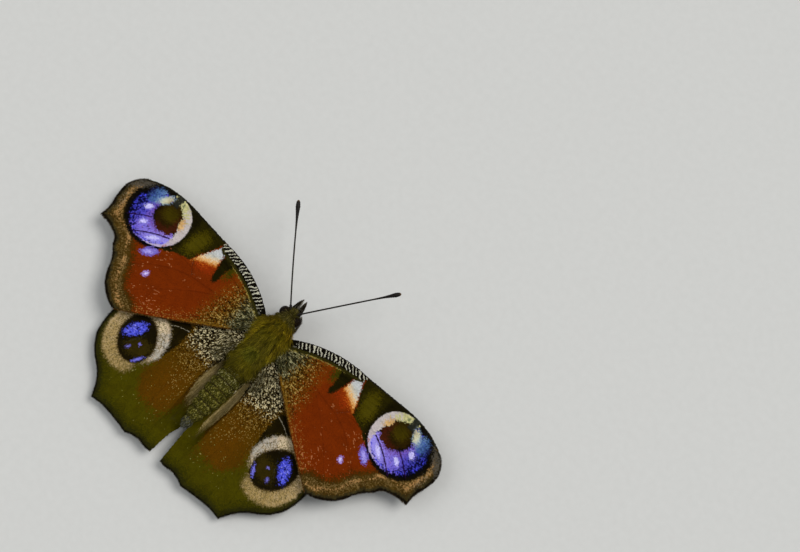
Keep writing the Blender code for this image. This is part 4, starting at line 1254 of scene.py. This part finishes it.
for tag, side in SIDES:
    root_hair("forewing_root_hair_" + tag, forewing, side, "R1", (2.6, -5.0), (7.0, 1.6), 1500,
              "#14160a #38361a #7e7850", 121)
    root_hair("hindwing_root_hair_" + tag, hindwing, side, "Rs", (2.6, -9.5), (5.6, -4.0), 900,
              "#1c1a0c #4a4220 #98906c", 125)
    fringe("forewing_fringe_" + tag, forewing, side, "R3", "2A", 0.34, "#17120c #2a2218 #6b5f4a", 131)
    fringe("hindwing_fringe_" + tag, hindwing, side, "ScR1", "anal", 0.36, "#14110a #241f12 #5c513a", 135)
    fringe("forewing_inner_fringe_" + tag, forewing, side, "2A", "inner", 0.28,
           "#3a2408 #5a3a14 #7a5a2c", 139)


# The stage is a plain floor of pale card with even light from two wide panels, and a camera above
# and to one side, as the photo was taken.
bpy.ops.object.select_all(action="DESELECT")
bpy.ops.mesh.primitive_plane_add(size=3.0, location=(0, 0, 0))
floor = bpy.context.active_object
floor.name = "studio_floor"
# Uncoated card: matt, its tooth just seen as a faint change of grey
floor.data.materials.append(surface("matt_pale_board", 900.0, "#c9c9c6 #d0d0cd", 0.85))
floor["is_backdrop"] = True

world = bpy.data.worlds.new("soft_room")
bpy.context.scene.world = world
world.use_nodes = True
world.node_tree.nodes["Background"].inputs["Color"].default_value = (0.95, 0.975, 1.0, 1.0)
world.node_tree.nodes["Background"].inputs["Strength"].default_value = 0.42


def lamp(name, place, span, power, tint):
    """Even light from a wide soft panel far off: where it stands, and how many degrees it spans."""
    panel = bpy.data.lights.new(name, "SUN")
    panel.angle = math.radians(span)
    panel.energy = power
    panel.color = tint
    stand = bpy.data.objects.new(name, panel)
    stand.location = place
    stand.rotation_euler = Vector(place).to_track_quat("Z", "Y").to_euler()
    bpy.context.scene.collection.objects.link(stand)
    stand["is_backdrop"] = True


lamp("key_panel", (0.15, 0.24, 0.45), 34, 1.78, (1.0, 0.985, 0.96))
lamp("fill_panel", (-0.35, -0.15, 0.34), 50, 0.62, (0.96, 0.98, 1.0))

# The camera leans back and aside from straight above, and is turned with the insect
LEAN_ASIDE, LEAN_BACK, ROLL = (math.radians(angle) for angle in (7.126, 12.0, 44.615))
AIM, FAR = (7.544, 18.695 + AHEAD, 4.0), 341.9
back = Vector((math.tan(LEAN_ASIDE), -math.tan(LEAN_BACK), 1.0)).normalized()
upward = Vector((0, 1, 0))
upward = (upward - back * upward.dot(back)).normalized()
right = (-back).cross(upward)
across = right * math.cos(ROLL) + upward * math.sin(ROLL)
along = upward * math.cos(ROLL) - right * math.sin(ROLL)
lens = bpy.data.cameras.new("camera")
lens.lens = 100.0
lens.sensor_width = 36.0
lens.clip_start = 0.01
camera = bpy.data.objects.new("camera", lens)
stand = Vector(AIM) * MM + back * FAR * MM
camera.matrix_world = Matrix.Translation(stand) @ Matrix((across, along, back)).transposed().to_4x4()
bpy.context.scene.collection.objects.link(camera)
bpy.context.scene.camera = camera
bpy.context.scene.view_settings.view_transform = "Standard"

low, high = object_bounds()
